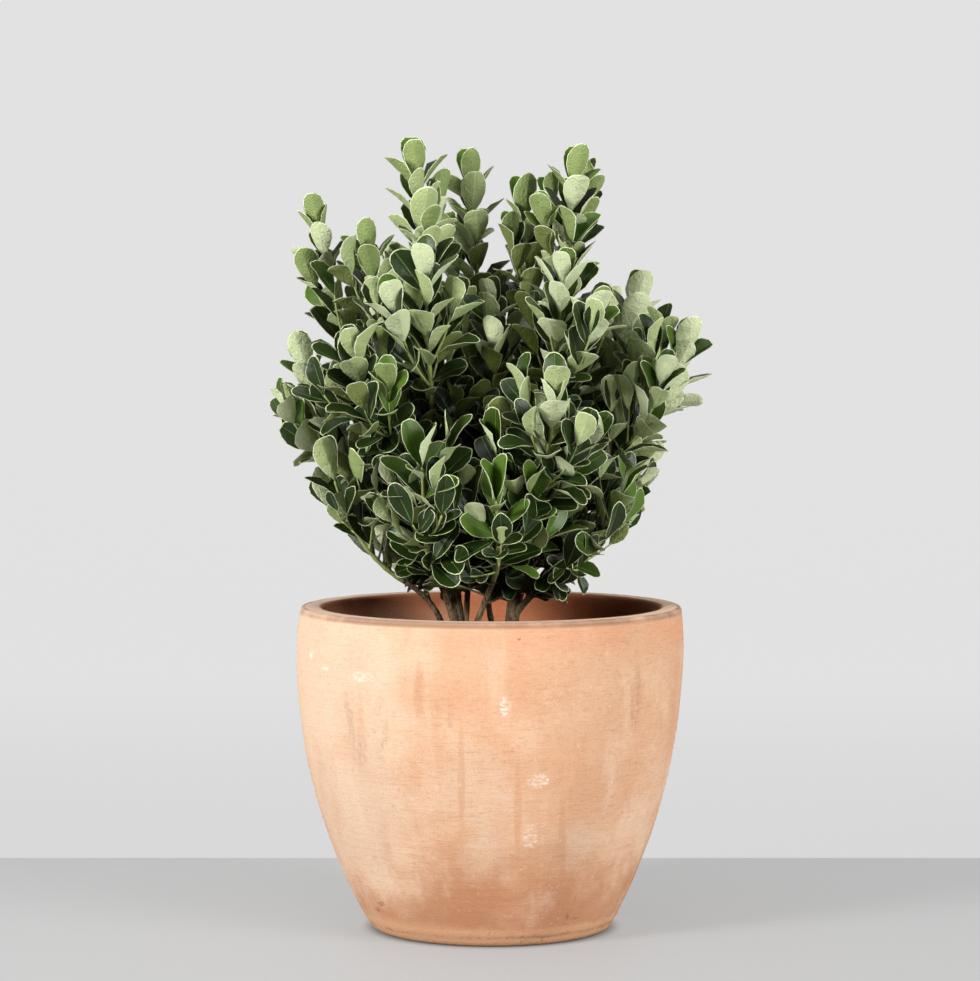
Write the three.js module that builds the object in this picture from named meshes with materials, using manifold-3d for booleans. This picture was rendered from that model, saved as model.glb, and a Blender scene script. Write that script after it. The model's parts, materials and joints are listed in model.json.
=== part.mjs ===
// A potted Japanese spindle: a clump of stems that fork into boughs, each bough carrying a mass of
// twigs with paired leaves, in an egg-shaped terracotta pot filled with soil.
// Millimetres, +Z up. The origin is on the floor, in the middle of the pot's flat underside.
// The front of the plant faces -Y.

import * as THREE from "three";
import { mergeVertices } from "three/addons/utils/BufferGeometryUtils.js";
import Module from "manifold-3d";

const wasm = await Module();
wasm.setup();

// Pot: an egg-shaped wall that swells from the foot to the belly and draws in a little at the rim
const POT_HEIGHT = 294;
const FOOT_RADIUS = 107;
const FOOT_CHAMFER = 2.5;
const BELLY_RADIUS = 175.5;
const BELLY_HEIGHT = 262;
const BELLY_POWER = 0.85;
const RIM_RADIUS = 173.5;
const RIM_ROUND = 6;
const WALL = 20;
const POT_FLOOR = 24;
const POT_SIDES = 36;
const POT_RINGS = 7;
const RING_CROWDING = 1.2;
const ROUND_CORNER = 0.3;

// Soil, and the clearance kept between neighbouring solids
const SOIL_TOP = 248;
const SOIL_RINGS = 3;
const GAP = 0.3;
const SLIVER = 0.15;

// Limbs
const STEM_FLARE = 0.5;
const FLARE_HEIGHT = 9;
const STEM_SIDES = 7;
const STEM_STEPS = 6;
const BOUGH_SIDES = 5;
const BOUGH_STEPS = 4;
const BOUGH_RADIUS = 3.3;
const BOUGH_TIP_RADIUS = 2.5;
const BRANCH_SLANT = 0.5;
const BRANCH_LEAN = 1.1;
const BRANCH_BEND = 0.35;
const AXIS_RADIUS = 2.6;
const AXIS_SIDES = 4;
const TWIG_RADIUS = 1.7;
const TWIG_SIDES = 3;
const AXIS_STEPS = 5;
const AXIS_SAMPLES = 14;
const SHOOT_STEPS = 2;

// Leaves: pairs along each shoot, every pair a quarter turn on from the last
const LEAF_LENGTH = 57;
const LEAF_WIDTH = 37;
const LEAF_THICK = 1.7;
const LEAF_CUP = 2.6;
const LEAF_KEEL = 0.25;
const LEAF_POWER = 0.52;
const LEAF_ROOT = 0.3;
const TIP_INSET = 1;
const PAIR_STEP = 25;
const BARE_SHARE = 0.1;
const PAIR_SIZES = [0.7, 0.9, 1];
const PAIR_ANGLES = [15, 30, 40, 47, 52];
const LEAF_TRIES = [[1, 0], [1, -14], [0.84, 0], [0.84, -18], [0.84, 16], [0.66, -8], [0.66, 12]];
const TURN_LOW = 0.85;
const TURN_HIGH = 0.1;
const LIGHT_RISE = 0.8;

// Side shoots of a mass
const GOLDEN_TURN = 137.5;
const SHOOTS_FROM = 0.12;
const SHOOTS_TO = 0.8;
const SHOOT_SHIFT = 0.5;
const SHOOT_VARY = 0.2;
const SHOOT_LEAN = 50;
const SHOOT_RISE = 0.9;
const SHOOT_TRIES = [1, 0.8, 0.6, 0.45];
const SPACE_MARGIN = 2.4;

// Crown: its reach from the pot's axis at the rim and at its widest, and the heights between which
// its leaves go from turned outwards to erect
const CROWN_FLOOR = POT_HEIGHT + 4;
const CROWN_WIDEST = 505;
const CROWN_NECK = 84;
const CROWN_REACH = 204;
const CROWN_POWER = 1.05;
const TURNED_HEIGHT = 330;
const ERECT_HEIGHT = 620;

/** One row of the list of masses. */
function mass(name, stem, [leaves, bare], tip, [spread, shoots, length]) {
  return { name, stem, leaves, bare, tip, spread, shoots, length };
}

// Stems out of the soil: foot, bend (a control point) and tip, with the radius at foot and tip
const STEMS = {
  trunk_left: { foot: [-26, 5], bend: [-38, 5, 340], tip: [-52, 0, 440], radius: [6.6, 3.4] },
  trunk_right: { foot: [17, -2], bend: [20, -2, 330], tip: [46, 2, 430], radius: [6.9, 3.4] },
  stem_front_left: { foot: [-24, -15], bend: [-40, -20, 305], tip: [-50, -52, 328], radius: [3.4, 2.5] },
  stem_low_left: { foot: [-38, -6], bend: [-42, -12, 296], tip: [-78, -28, 318], radius: [2.8, 2.5] },
  stem_centre: { foot: [-24, 24], bend: [-22, 26, 330], tip: [-12, 48, 430], radius: [2.7, 2.5] },
  stem_cross: { foot: [-26, -29], bend: [-6, -34, 300], tip: [2, -60, 322], radius: [3.1, 2.5] },
  stem_back: { foot: [6, 26], bend: [-6, 34, 300], tip: [-8, 66, 345], radius: [2.8, 2.5] },
};

// Masses of foliage: name; carrying stem; the share of that stem's run where the branch leaves it (1 for
// its tip) and the share of the branch that is bare bough; the tip of the mass's axis; how far the mass
// spreads from its axis; and the number and length of its side shoots
const MASSES = [
  mass("spire_left", "trunk_left", [0.5, 0.45], [-157, 16, 636], [40, 4, 80]),
  mass("spire_tall", "trunk_left", [1, 0], [-68, 6, 682], [48, 4, 80]),
  mass("spire_back", "stem_centre", [1, 0], [-19, 60, 676], [50, 4, 80]),
  mass("spire_inner", "trunk_right", [0.9, 0.4], [30, 34, 646], [45, 4, 80]),
  mass("spire_right", "trunk_right", [1, 0], [74, 0, 676], [42, 4, 90]),
  mass("upper_left", "trunk_left", [0.58, 0.45], [-110, -14, 612], [45, 4, 80]),
  mass("centre", "trunk_right", [0.26, 0.42], [0, -46, 560], [50, 4, 80]),
  mass("column_left", "trunk_left", [0.84, 0.42], [-58, -92, 588], [55, 4, 80]),
  mass("column_right", "trunk_right", [0.83, 0.42], [62, -92, 584], [55, 4, 80]),
  mass("front_left", "trunk_left", [0.66, 0.42], [-120, -98, 520], [60, 4, 85]),
  mass("front_centre", "trunk_right", [0.36, 0.36], [54, -150, 484], [60, 4, 80]),
  mass("front_low_left", "stem_front_left", [1, 0], [-60, -146, 428], [60, 5, 70]),
  mass("front_low", "stem_cross", [1, 0], [4, -136, 398], [55, 5, 65]),
  mass("side_left", "trunk_left", [0.37, 0.36], [-166, -18, 508], [60, 4, 85]),
  mass("low_left", "stem_low_left", [1, 0], [-140, -60, 412], [55, 5, 65]),
  mass("side_right", "trunk_right", [0.5, 0.42], [170, -22, 522], [50, 4, 85]),
  mass("shoulder_right", "trunk_right", [0.64, 0.42], [130, 38, 560], [50, 4, 80]),
  mass("middle_right", "trunk_right", [0.44, 0.36], [138, 46, 442], [55, 5, 75]),
  mass("low_right", "trunk_right", [0.21, 0.26], [116, -62, 398], [55, 5, 65]),
  mass("back_left", "trunk_left", [0.74, 0.42], [-106, 112, 566], [60, 4, 85]),
  mass("back_centre", "stem_back", [1, 0], [2, 146, 520], [60, 5, 85]),
  mass("back_right", "trunk_right", [0.74, 0.42], [104, 116, 552], [60, 4, 85]),
  mass("back_low_left", "trunk_left", [0.28, 0.3], [-90, 108, 404], [60, 5, 65]),
  mass("back_low_right", "trunk_right", [0.34, 0.3], [58, 120, 396], [60, 5, 65]),
];

const UP = new THREE.Vector3(0, 0, 1);
const RAD = Math.PI / 180;

/** A repeatable stream of numbers from 0 to 1. */
function randomStream(seed) {
  let state = seed >>> 0;
  return () => {
    state = (state + 0x6d2b79f5) >>> 0;
    let mixed = Math.imul(state ^ (state >>> 15), 1 | state);
    mixed = (mixed + Math.imul(mixed ^ (mixed >>> 7), 61 | mixed)) ^ mixed;
    return ((mixed ^ (mixed >>> 14)) >>> 0) / 4294967296;
  };
}

/** A closed geometry as a solid that can be joined and cut. */
function solidOf(geometry) {
  const bare = geometry.clone();
  bare.deleteAttribute("normal");
  bare.deleteAttribute("uv");
  const merged = mergeVertices(bare, 1e-4);
  const mesh = new wasm.Mesh({
    numProp: 3,
    vertProperties: Float32Array.from(merged.attributes.position.array),
    triVerts: Uint32Array.from(merged.index.array),
  });
  return new wasm.Manifold(mesh);
}

/** The largest body of a solid, with sealed hollows filled and loose scraps dropped. */
function mainBody(solid) {
  const bodies = solid.decompose();
  bodies.sort((a, b) => b.volume() - a.volume());
  return bodies[0];
}

/** A solid as a geometry with flat facets. */
function geometryOf(solid) {
  const mesh = solid.getMesh();
  const geometry = new THREE.BufferGeometry();
  geometry.setAttribute("position", new THREE.BufferAttribute(mesh.vertProperties, 3));
  geometry.setIndex(new THREE.BufferAttribute(mesh.triVerts, 1));
  const faceted = geometry.toNonIndexed();
  faceted.computeVertexNormals();
  return faceted;
}

/** A point from its numbers, with a height for those given in plan only. */
function point([x, y, z], height = 0) {
  return new THREE.Vector3(x, y, z ?? height);
}

/** The horizontal direction from one point to another, or from the pot's axis to a point. */
function outward(to, from = new THREE.Vector3()) {
  return new THREE.Vector3(to.x - from.x, to.y - from.y, 0).normalize();
}

/** The pot's outer radius at a height: a sine swell from foot to belly, then a slight draw to the rim. */
function potRadius(z) {
  if (z > BELLY_HEIGHT) {
    const above = (z - BELLY_HEIGHT) / (POT_HEIGHT - BELLY_HEIGHT);
    return BELLY_RADIUS - (BELLY_RADIUS - RIM_RADIUS) * above ** 2;
  }
  const swell = Math.sin((Math.PI / 2) * (z / BELLY_HEIGHT) ** BELLY_POWER);
  return FOOT_RADIUS + (BELLY_RADIUS - FOOT_RADIUS) * swell;
}

/** The pot: its profile runs up the outer wall, round the rim, down the inner wall and over the floor. */
function potGeometry() {
  const profile = [new THREE.Vector2(0, 0)];
  profile.push(new THREE.Vector2(FOOT_RADIUS - FOOT_CHAMFER, 0));
  const shoulder = POT_HEIGHT - RIM_ROUND;
  for (let i = 0; i <= POT_RINGS; i += 1) {
    const z = FOOT_CHAMFER + (shoulder - FOOT_CHAMFER) * (i / POT_RINGS) ** RING_CROWDING;
    profile.push(new THREE.Vector2(potRadius(z), z));
  }
  const outer = potRadius(shoulder);
  const corner = RIM_ROUND * ROUND_CORNER;
  const rim = [
    [outer - corner, POT_HEIGHT - corner],
    [outer - RIM_ROUND, POT_HEIGHT],
    [outer - WALL + RIM_ROUND, POT_HEIGHT],
    [outer - WALL + corner, POT_HEIGHT - corner],
  ];
  profile.push(...rim.map(([r, z]) => new THREE.Vector2(r, z)));
  for (let i = 0; i <= SOIL_RINGS; i += 1) {
    const z = shoulder + (POT_FLOOR - shoulder) * (i / SOIL_RINGS);
    profile.push(new THREE.Vector2(potRadius(z) - WALL, z));
  }
  profile.push(new THREE.Vector2(0, POT_FLOOR));
  return new THREE.LatheGeometry(profile, POT_SIDES).rotateX(Math.PI / 2);
}

/** The pot's inner radius at a height, as its straight-sided facets run between rings. */
function innerRadius(z) {
  const shoulder = POT_HEIGHT - RIM_ROUND;
  const step = (shoulder - POT_FLOOR) / SOIL_RINGS;
  const below = POT_FLOOR + Math.floor((z - POT_FLOOR) / step) * step;
  const share = (z - below) / step;
  return THREE.MathUtils.lerp(potRadius(below), potRadius(below + step), share) - WALL;
}

/** The soil: a plug that fills the pot from its floor to the soil's level top. */
function soilGeometry() {
  const bottom = POT_FLOOR + GAP;
  const step = (POT_HEIGHT - RIM_ROUND - POT_FLOOR) / SOIL_RINGS;
  const profile = [new THREE.Vector2(0, bottom)];
  profile.push(new THREE.Vector2(innerRadius(bottom) - GAP, bottom));
  for (let z = POT_FLOOR + step; z < SOIL_TOP; z += step) {
    profile.push(new THREE.Vector2(innerRadius(z) - GAP, z));
  }
  profile.push(new THREE.Vector2(innerRadius(SOIL_TOP) - GAP, SOIL_TOP));
  profile.push(new THREE.Vector2(0, SOIL_TOP));
  return new THREE.LatheGeometry(profile, POT_SIDES).rotateX(Math.PI / 2);
}

/** A limb: its curve, the level direction across the plane it bends in, and a turn about its run. */
function limbAlong(curve, around = 0) {
  const across = UP.clone().cross(curve.getPoint(1).sub(curve.getPoint(0))).normalize();
  return { curve, across, around };
}

/** The place and run of a limb at a share of its length, with two directions square to the run. */
function limbFrame({ curve, across, around }, share) {
  const place = curve.getPointAt(share);
  const along = curve.getTangentAt(share);
  const level = across.clone().addScaledVector(along, -across.dot(along)).normalize();
  const spoke = level.applyAxisAngle(along, around);
  return { place, along, spoke, cross: along.clone().cross(spoke) };
}

/** A tapering limb's shape: a closed cylinder whose rings are laid along the curve, a side to each spoke. */
function limbGeometry(limb, radiusAt, sides, steps) {
  const geometry = new THREE.CylinderGeometry(1, 1, 1, sides, steps).rotateY(Math.PI / sides);
  const position = geometry.attributes.position;
  for (let i = 0; i < position.count; i += 1) {
    const share = Math.round((position.getY(i) + 0.5) * steps) / steps;
    const { place, spoke, cross } = limbFrame(limb, share);
    place.addScaledVector(spoke, position.getX(i) * radiusAt(share));
    place.addScaledVector(cross, -position.getZ(i) * radiusAt(share));
    position.setXYZ(i, place.x, place.y, place.z);
  }
  return geometry;
}

/** A straight taper between two radii. */
function taper(start, end) {
  return (along) => THREE.MathUtils.lerp(start, end, along);
}

/** The curve of a stem, from just under the soil's top to the stem's tip. */
function stemCurve({ foot, bend, tip }) {
  return new THREE.QuadraticBezierCurve3(point(foot, SOIL_TOP - GAP), point(bend), point(tip));
}

/** A stem with its root flare, cut flat just above the soil; extra widens it all over. */
function stemSolid(stem, extra = 0) {
  const curve = stemCurve(stem);
  const length = curve.getLength();
  const [foot, tip] = stem.radius;
  const radiusAt = (along) => {
    const flare = STEM_FLARE * foot * Math.exp((-along * length) / FLARE_HEIGHT);
    return taper(foot, tip)(along) + flare + extra;
  };
  const ground = new THREE.BoxGeometry(2 * BELLY_RADIUS, 2 * BELLY_RADIUS, 2 * SOIL_TOP);
  ground.translate(0, 0, GAP);
  const limb = limbGeometry(limbAlong(curve), radiusAt, STEM_SIDES, STEM_STEPS);
  return solidOf(limb).subtract(solidOf(ground));
}

/** The curve of a whole branch: out of its stem at a slant, then bending up to the mass's tip. */
function branchCurve(mass) {
  const parent = stemCurve(STEMS[mass.stem]);
  const start = parent.getPoint(mass.leaves);
  const tip = point(mass.tip);
  const reach = start.distanceTo(tip);
  const away = outward(tip, start);
  const rise = (tip.z - start.z) / reach;
  const slant = away.clone().addScaledVector(UP, BRANCH_SLANT + rise).normalize();
  const first = mass.leaves < 1 ? slant : parent.getTangent(1);
  const last = UP.clone().addScaledVector(away, BRANCH_LEAN - rise).normalize();
  return new THREE.CubicBezierCurve3(
    start,
    start.clone().addScaledVector(first, BRANCH_BEND * reach),
    tip.clone().addScaledVector(last, -BRANCH_BEND * reach),
    tip,
  );
}

/** A cubic curve cut in two at a share of its run. */
function splitCurve({ v0, v1, v2, v3 }, share) {
  const a = v0.clone().lerp(v1, share);
  const b = v1.clone().lerp(v2, share);
  const c = v2.clone().lerp(v3, share);
  const d = a.clone().lerp(b, share);
  const e = b.clone().lerp(c, share);
  const cut = d.clone().lerp(e, share);
  return [new THREE.CubicBezierCurve3(v0, a, d, cut), new THREE.CubicBezierCurve3(cut, e, c, v3)];
}

/** A mass's bough, if it has one, and the axis that its shoots grow from, a gap past the limb's tip. */
function branchParts(mass) {
  const whole = branchCurve(mass);
  const [bough, axis] = mass.leaves < 1 ? splitCurve(whole, mass.bare) : [null, whole];
  axis.v0 = axis.v0.clone().addScaledVector(axis.getTangent(0), GAP);
  return { bough, axis };
}

/** A bough whose foot is cut to sit a gap clear of its stem; extra widens it all over. */
function boughSolid(curve, stem, extra = 0) {
  const radiusAt = taper(BOUGH_RADIUS + extra, BOUGH_TIP_RADIUS + extra);
  const limb = limbGeometry(limbAlong(curve), radiusAt, BOUGH_SIDES, BOUGH_STEPS);
  return mainBody(solidOf(limb).subtract(stemSolid(STEMS[stem], GAP / Math.cos(Math.PI / STEM_SIDES))));
}

const branches = MASSES.map((mass) => ({ ...mass, ...branchParts(mass) }));
const axisLines = branches.map(({ axis }) => axis.getSpacedPoints(AXIS_SAMPLES));

/** The distance from a place to a line of points. */
function distanceToLine(place, line) {
  let nearest = Infinity;
  const onLine = new THREE.Vector3();
  for (let i = 1; i < line.length; i += 1) {
    const segment = new THREE.Line3(line[i - 1], line[i]);
    segment.closestPointToPoint(place, true, onLine);
    nearest = Math.min(nearest, onLine.distanceTo(place));
  }
  return nearest;
}

/** How far the crown reaches from the pot's axis at a height: a sine swell from the rim to its widest. */
function crownReach(z) {
  const rise = Math.min((z - CROWN_FLOOR) / (CROWN_WIDEST - CROWN_FLOOR), 1);
  return CROWN_NECK + (CROWN_REACH - CROWN_NECK) * Math.sin((Math.PI / 2) * rise ** CROWN_POWER);
}

/** Whether a place lies in a mass's own space: in the crown, by its axis, and nearer it than any other. */
function inSpace(place, index) {
  if (place.z < CROWN_FLOOR || Math.hypot(place.x, place.y) > crownReach(place.z)) {
    return false;
  }
  const own = distanceToLine(place, axisLines[index]);
  const nearest = (line, other) => other === index || distanceToLine(place, line) > own + SPACE_MARGIN;
  return own < MASSES[index].spread && axisLines.every(nearest);
}

/** A leaf lying along +X from its root, its face to +Z: a five-pointed outline with a blunt tip. */
function leafGeometry(length) {
  const size = length / LEAF_LENGTH;
  const geometry = new THREE.SphereGeometry(1, 5, 2).rotateX(Math.PI / 2);
  const position = geometry.attributes.position;
  for (let i = 0; i < position.count; i += 1) {
    const face = position.getZ(i);
    const middle = Math.abs(face) > 0.5;
    const along = middle ? LEAF_KEEL : ((position.getX(i) + 1) / (1 + Math.cos(36 * RAD))) ** LEAF_POWER;
    const across = (position.getY(i) * LEAF_WIDTH * size) / 2 / Math.sin(72 * RAD);
    const lift = middle ? (face * LEAF_THICK) / 2 - LEAF_CUP * size : 0;
    position.setXYZ(i, along * length, across, lift);
  }
  return geometry;
}

/** A value from a list, the last one standing for all that follow. */
function fromList(list, index) {
  return list[Math.min(index, list.length - 1)];
}

/** The frame of a leaf on a shoot: its run, its side and its face, turned to the light low in the crown. */
function leafFrame(place, along, spoke, angle) {
  const run = along.clone().multiplyScalar(Math.cos(angle)).addScaledVector(spoke, Math.sin(angle));
  const face = along.clone().multiplyScalar(Math.sin(angle)).addScaledVector(spoke, -Math.cos(angle));
  const turn = THREE.MathUtils.mapLinear(place.z, TURNED_HEIGHT, ERECT_HEIGHT, TURN_LOW, TURN_HIGH);
  const light = outward(place).addScaledVector(UP, LIGHT_RISE).normalize();
  light.addScaledVector(run, -light.dot(run));
  face.addScaledVector(light, Math.max(turn, TURN_HIGH)).normalize();
  const frame = new THREE.Matrix4().makeBasis(run, face.clone().cross(run), face);
  return frame.setPosition(place.clone().addScaledVector(spoke, LEAF_ROOT));
}

/** The places that stand for a leaf when its space is tested: its points and the middles between them. */
function leafPlaces(geometry) {
  const position = geometry.attributes.position;
  const places = [];
  const middle = new THREE.Vector3().fromBufferAttribute(position, 0);
  for (let i = 0; i < position.count; i += 1) {
    const corner = new THREE.Vector3().fromBufferAttribute(position, i);
    places.push(corner, corner.clone().lerp(middle, 0.5));
  }
  return places;
}

/** Whether two solids touch. */
function touch(a, b) {
  const first = a.boundingBox();
  const second = b.boundingBox();
  const apart = [0, 1, 2].some((i) => first.min[i] > second.max[i] || second.min[i] > first.max[i]);
  return !apart && !a.intersect(b).isEmpty();
}

/** Adds the leaves along a shoot, in pairs from the tip down, each skipped where it finds no room. */
function addLeaves(leaves, shoot, index, limbs) {
  const length = shoot.curve.getLength();
  const pairs = Math.floor((length * (1 - BARE_SHARE)) / PAIR_STEP) + 1;
  for (let pair = 0; pair < pairs; pair += 1) {
    const { place, along, spoke, cross } = limbFrame(shoot, 1 - (pair * PAIR_STEP + TIP_INSET) / length);
    const others = [...leaves, limbs];
    const arm = pair % 2 ? cross : spoke;
    for (const direction of [arm, arm.clone().negate()]) {
      for (const [size, tilt] of LEAF_TRIES) {
        const frame = leafFrame(place, along, direction, (fromList(PAIR_ANGLES, pair) + tilt) * RAD);
        const leaf = leafGeometry(LEAF_LENGTH * fromList(PAIR_SIZES, pair) * size).applyMatrix4(frame);
        const tips = leafPlaces(leaf).filter((tip) => tip.distanceTo(place) > 2 * TWIG_RADIUS);
        const solid = solidOf(leaf);
        if (tips.every((tip) => inSpace(tip, index)) && !others.some((other) => touch(solid, other))) {
          leaves.push(solid);
          break;
        }
      }
    }
  }
}

/** A side shoot: it leaves the axis at a slant and bends up, shortened until it stays in its space. */
function sideShoot(axis, share, lean, length, around, index, limbs) {
  const { place, along, spoke } = limbFrame({ ...axis, around: lean }, share);
  const first = along.multiplyScalar(Math.cos(SHOOT_LEAN * RAD));
  first.addScaledVector(spoke, Math.sin(SHOOT_LEAN * RAD));
  const last = first.clone().addScaledVector(UP, SHOOT_RISE).normalize();
  for (const size of SHOOT_TRIES) {
    const half = (length * size) / 2;
    const bend = place.clone().addScaledVector(first, half);
    const tip = bend.clone().addScaledVector(last, half);
    const shoot = limbAlong(new THREE.QuadraticBezierCurve3(place, bend, tip), around);
    const solid = solidOf(limbGeometry(shoot, taper(TWIG_RADIUS, TWIG_RADIUS), TWIG_SIDES, SHOOT_STEPS));
    if (inSpace(bend, index) && inSpace(tip, index) && !touch(solid, limbs)) {
      return { ...shoot, solid };
    }
  }
  return null;
}

/** A mass of foliage: its axis, its side shoots and their leaves, fused into one body. */
function massSolid({ axis, shoots, length }, index, limbs) {
  const random = randomStream(index + 1);
  const main = limbAlong(axis, random() * Math.PI);
  const twigs = [solidOf(limbGeometry(main, taper(AXIS_RADIUS, TWIG_RADIUS), AXIS_SIDES, AXIS_STEPS))];
  const leaves = [];
  addLeaves(leaves, main, index, limbs);
  const start = random() * 2 * Math.PI;
  for (let i = 0; i < shoots; i += 1) {
    const share = SHOOTS_FROM + ((SHOOTS_TO - SHOOTS_FROM) * (i + random() * SHOOT_SHIFT)) / shoots;
    const lean = start + i * GOLDEN_TURN * RAD;
    const run = length * (1 - SHOOT_VARY + 2 * SHOOT_VARY * random());
    const shoot = sideShoot(main, share, lean, run, random() * Math.PI, index, limbs);
    if (shoot) {
      twigs.push(shoot.solid);
      addLeaves(leaves, shoot, index, limbs);
    }
  }
  return mainBody(wasm.Manifold.union([...twigs, ...leaves]).simplify(SLIVER));
}

/** A named mesh with its own material. */
function piece(name, geometry, color, roughness) {
  const material = new THREE.MeshStandardMaterial({ color, roughness, metalness: 0, flatShading: true });
  const mesh = new THREE.Mesh(geometry, material);
  mesh.name = name;
  return mesh;
}

const plant = new THREE.Group();
plant.add(piece("pot", potGeometry(), 0xe3b08a, 0.9));
plant.add(piece("soil", soilGeometry(), 0x3a2a20, 1));

const stemSolids = Object.entries(STEMS).map(([name, stem]) => [name, stemSolid(stem)]);
for (const [name, solid] of stemSolids) {
  plant.add(piece(name, geometryOf(solid), 0x5b4636, 0.85));
}

const boughed = branches.filter(({ bough }) => bough);
for (const { name, bough, stem } of boughed) {
  plant.add(piece(`bough_${name}`, geometryOf(boughSolid(bough, stem)), 0x6b5a3e, 0.85));
}

const clearance = wasm.Manifold.union([
  ...Object.values(STEMS).map((stem) => stemSolid(stem, 2 * GAP)),
  ...boughed.map(({ bough, stem }) => boughSolid(bough, stem, 2 * GAP)),
]);
branches.forEach((branch, index) => {
  const solid = massSolid(branch, index, clearance);
  plant.add(piece(`foliage_${branch.name}`, geometryOf(solid), 0x6f8a55, 0.5));
});

export default plant;
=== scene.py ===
# %% [markdown]
# # A potted Japanese spindle
# The plant is a young evergreen shrub with cream-edged leaves, in a plain terracotta pot. Its stems,
# boughs and leaves could be drawn one by one, but a shrub is easier to grow: a short rule, fed with
# repeatable random numbers, puts every twig and leaf in its place. This file grows it around the
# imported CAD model, piece by piece, with numpy for the shapes and shader nodes for the finishes.

# %% Frame
import json
import math

import bpy
import numpy as np
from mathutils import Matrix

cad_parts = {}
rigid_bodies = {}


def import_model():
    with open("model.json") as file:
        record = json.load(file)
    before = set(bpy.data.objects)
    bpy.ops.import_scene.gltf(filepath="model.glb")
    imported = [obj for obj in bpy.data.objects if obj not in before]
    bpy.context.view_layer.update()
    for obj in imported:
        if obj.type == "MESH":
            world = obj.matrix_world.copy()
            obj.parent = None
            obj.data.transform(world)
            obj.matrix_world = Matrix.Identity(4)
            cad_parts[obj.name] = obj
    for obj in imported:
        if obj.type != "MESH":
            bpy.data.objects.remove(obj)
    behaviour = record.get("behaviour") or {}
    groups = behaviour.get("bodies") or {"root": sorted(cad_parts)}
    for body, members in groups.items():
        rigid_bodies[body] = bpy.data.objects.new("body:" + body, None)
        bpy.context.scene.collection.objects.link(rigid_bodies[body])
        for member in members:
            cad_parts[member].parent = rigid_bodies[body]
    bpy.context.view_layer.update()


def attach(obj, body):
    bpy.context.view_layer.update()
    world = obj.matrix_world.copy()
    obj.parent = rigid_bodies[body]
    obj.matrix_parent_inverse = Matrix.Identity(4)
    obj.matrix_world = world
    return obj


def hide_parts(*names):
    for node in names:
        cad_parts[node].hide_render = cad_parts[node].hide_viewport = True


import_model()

# %% [markdown]
# ## From arrays to meshes
# Every piece below is worked out as whole arrays: a grid of places from two parameters, or one small
# shape set down at many places. These helpers turn grids into faces and hand the arrays to Blender.
# A shape is always its points, the corners of its faces in a row, and the number of corners of each.
# All sizes are written in millimetres, as in the CAD source, and become metres here.

# %% Mesh helpers
MM = 0.001
WELD_DECIMALS = 5


def grid_faces(rows, columns, wrap=True):
    """The quads of a grid of points in row order, whose last column joins its first if it wraps."""
    steps = np.arange(rows - 1), np.arange(columns if wrap else columns - 1)
    row, column = np.meshgrid(*steps, indexing="ij")
    after = (column + 1) % columns
    near, far = row * columns, (row + 1) * columns
    return np.stack([near + column, near + after, far + after, far + column], -1).reshape(-1, 4)


def welded(places, faces):
    """A shape whose points that coincide are made one."""
    rounded = np.round(places, WELD_DECIMALS)
    _, first, same = np.unique(rounded, axis=0, return_index=True, return_inverse=True)
    corners = same.reshape(-1)[faces]
    keep = corners != np.roll(corners, 1, axis=1)
    return places[first], corners[keep], keep.sum(1)


def joined(grids):
    """Several grids that wrap round, as one shape, the poles of each welded."""
    shapes = [welded(grid.reshape(-1, 3), grid_faces(*grid.shape[:2])) for grid in grids]
    starts = np.cumsum([0] + [len(points) for points, _, _ in shapes])
    corners = [corners + start for (_, corners, _), start in zip(shapes, starts)]
    points, _, sizes = zip(*shapes)
    return np.concatenate(points), np.concatenate(corners), np.concatenate(sizes)


def put_object(name, data):
    """A new object in the scene for a mesh, a light or a camera."""
    made = bpy.data.objects.new(name, data)
    bpy.context.scene.collection.objects.link(made)
    return made


def put_piece(name, shape, finishes, replaced=(), face_slots=None, face_sides=None):
    """A mesh piece from a shape in millimetres, riding on the plant's one body. Where faces have
    sides, 0 or 1, the edges between the two sides stay sharp."""
    points, corners, sizes = shape
    mesh = bpy.data.meshes.new(name)
    mesh.vertices.add(len(points))
    mesh.vertices.foreach_set("co", (np.asarray(points, np.float32) * MM).ravel())
    mesh.loops.add(len(corners))
    mesh.loops.foreach_set("vertex_index", np.asarray(corners, np.int32))
    mesh.polygons.add(len(sizes))
    mesh.polygons.foreach_set("loop_start", (np.cumsum(sizes) - sizes).astype(np.int32))
    mesh.polygons.foreach_set("use_smooth", np.ones(len(sizes), bool))
    for finish in finishes:
        mesh.materials.append(finish)
    if face_slots is not None:
        mesh.polygons.foreach_set("material_index", np.asarray(face_slots, np.int32))
    mesh.update(calc_edges=True)
    if face_sides is not None:
        edges = np.empty(len(corners), np.int32)
        mesh.loops.foreach_get("edge_index", edges)
        ones = np.bincount(edges, np.repeat(face_sides, sizes), len(mesh.edges))
        sharp = mesh.attributes.new("sharp_edge", "BOOLEAN", "EDGE")
        sharp.data.foreach_set("value", ones == 1)
    mesh.validate()
    piece = put_object(name, mesh)
    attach(piece, "root")
    if replaced:
        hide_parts(*replaced)
    print(f"{name}: {len(points)} points, {int((sizes - 2).sum())} triangles")


# %% [markdown]
# ## Roughness of nature
# Clay, bark and soil are never smooth. A sum of waves that run in random directions is a cheap smooth
# noise that works on whole arrays of points, and a fixed seed gives the same waves on every run.

# %% Smooth noise
RIPPLE_WAVES = 14
RIPPLE_LENGTHS = (0.7, 1.4)
RIPPLE_CALM = 1.5


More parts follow.
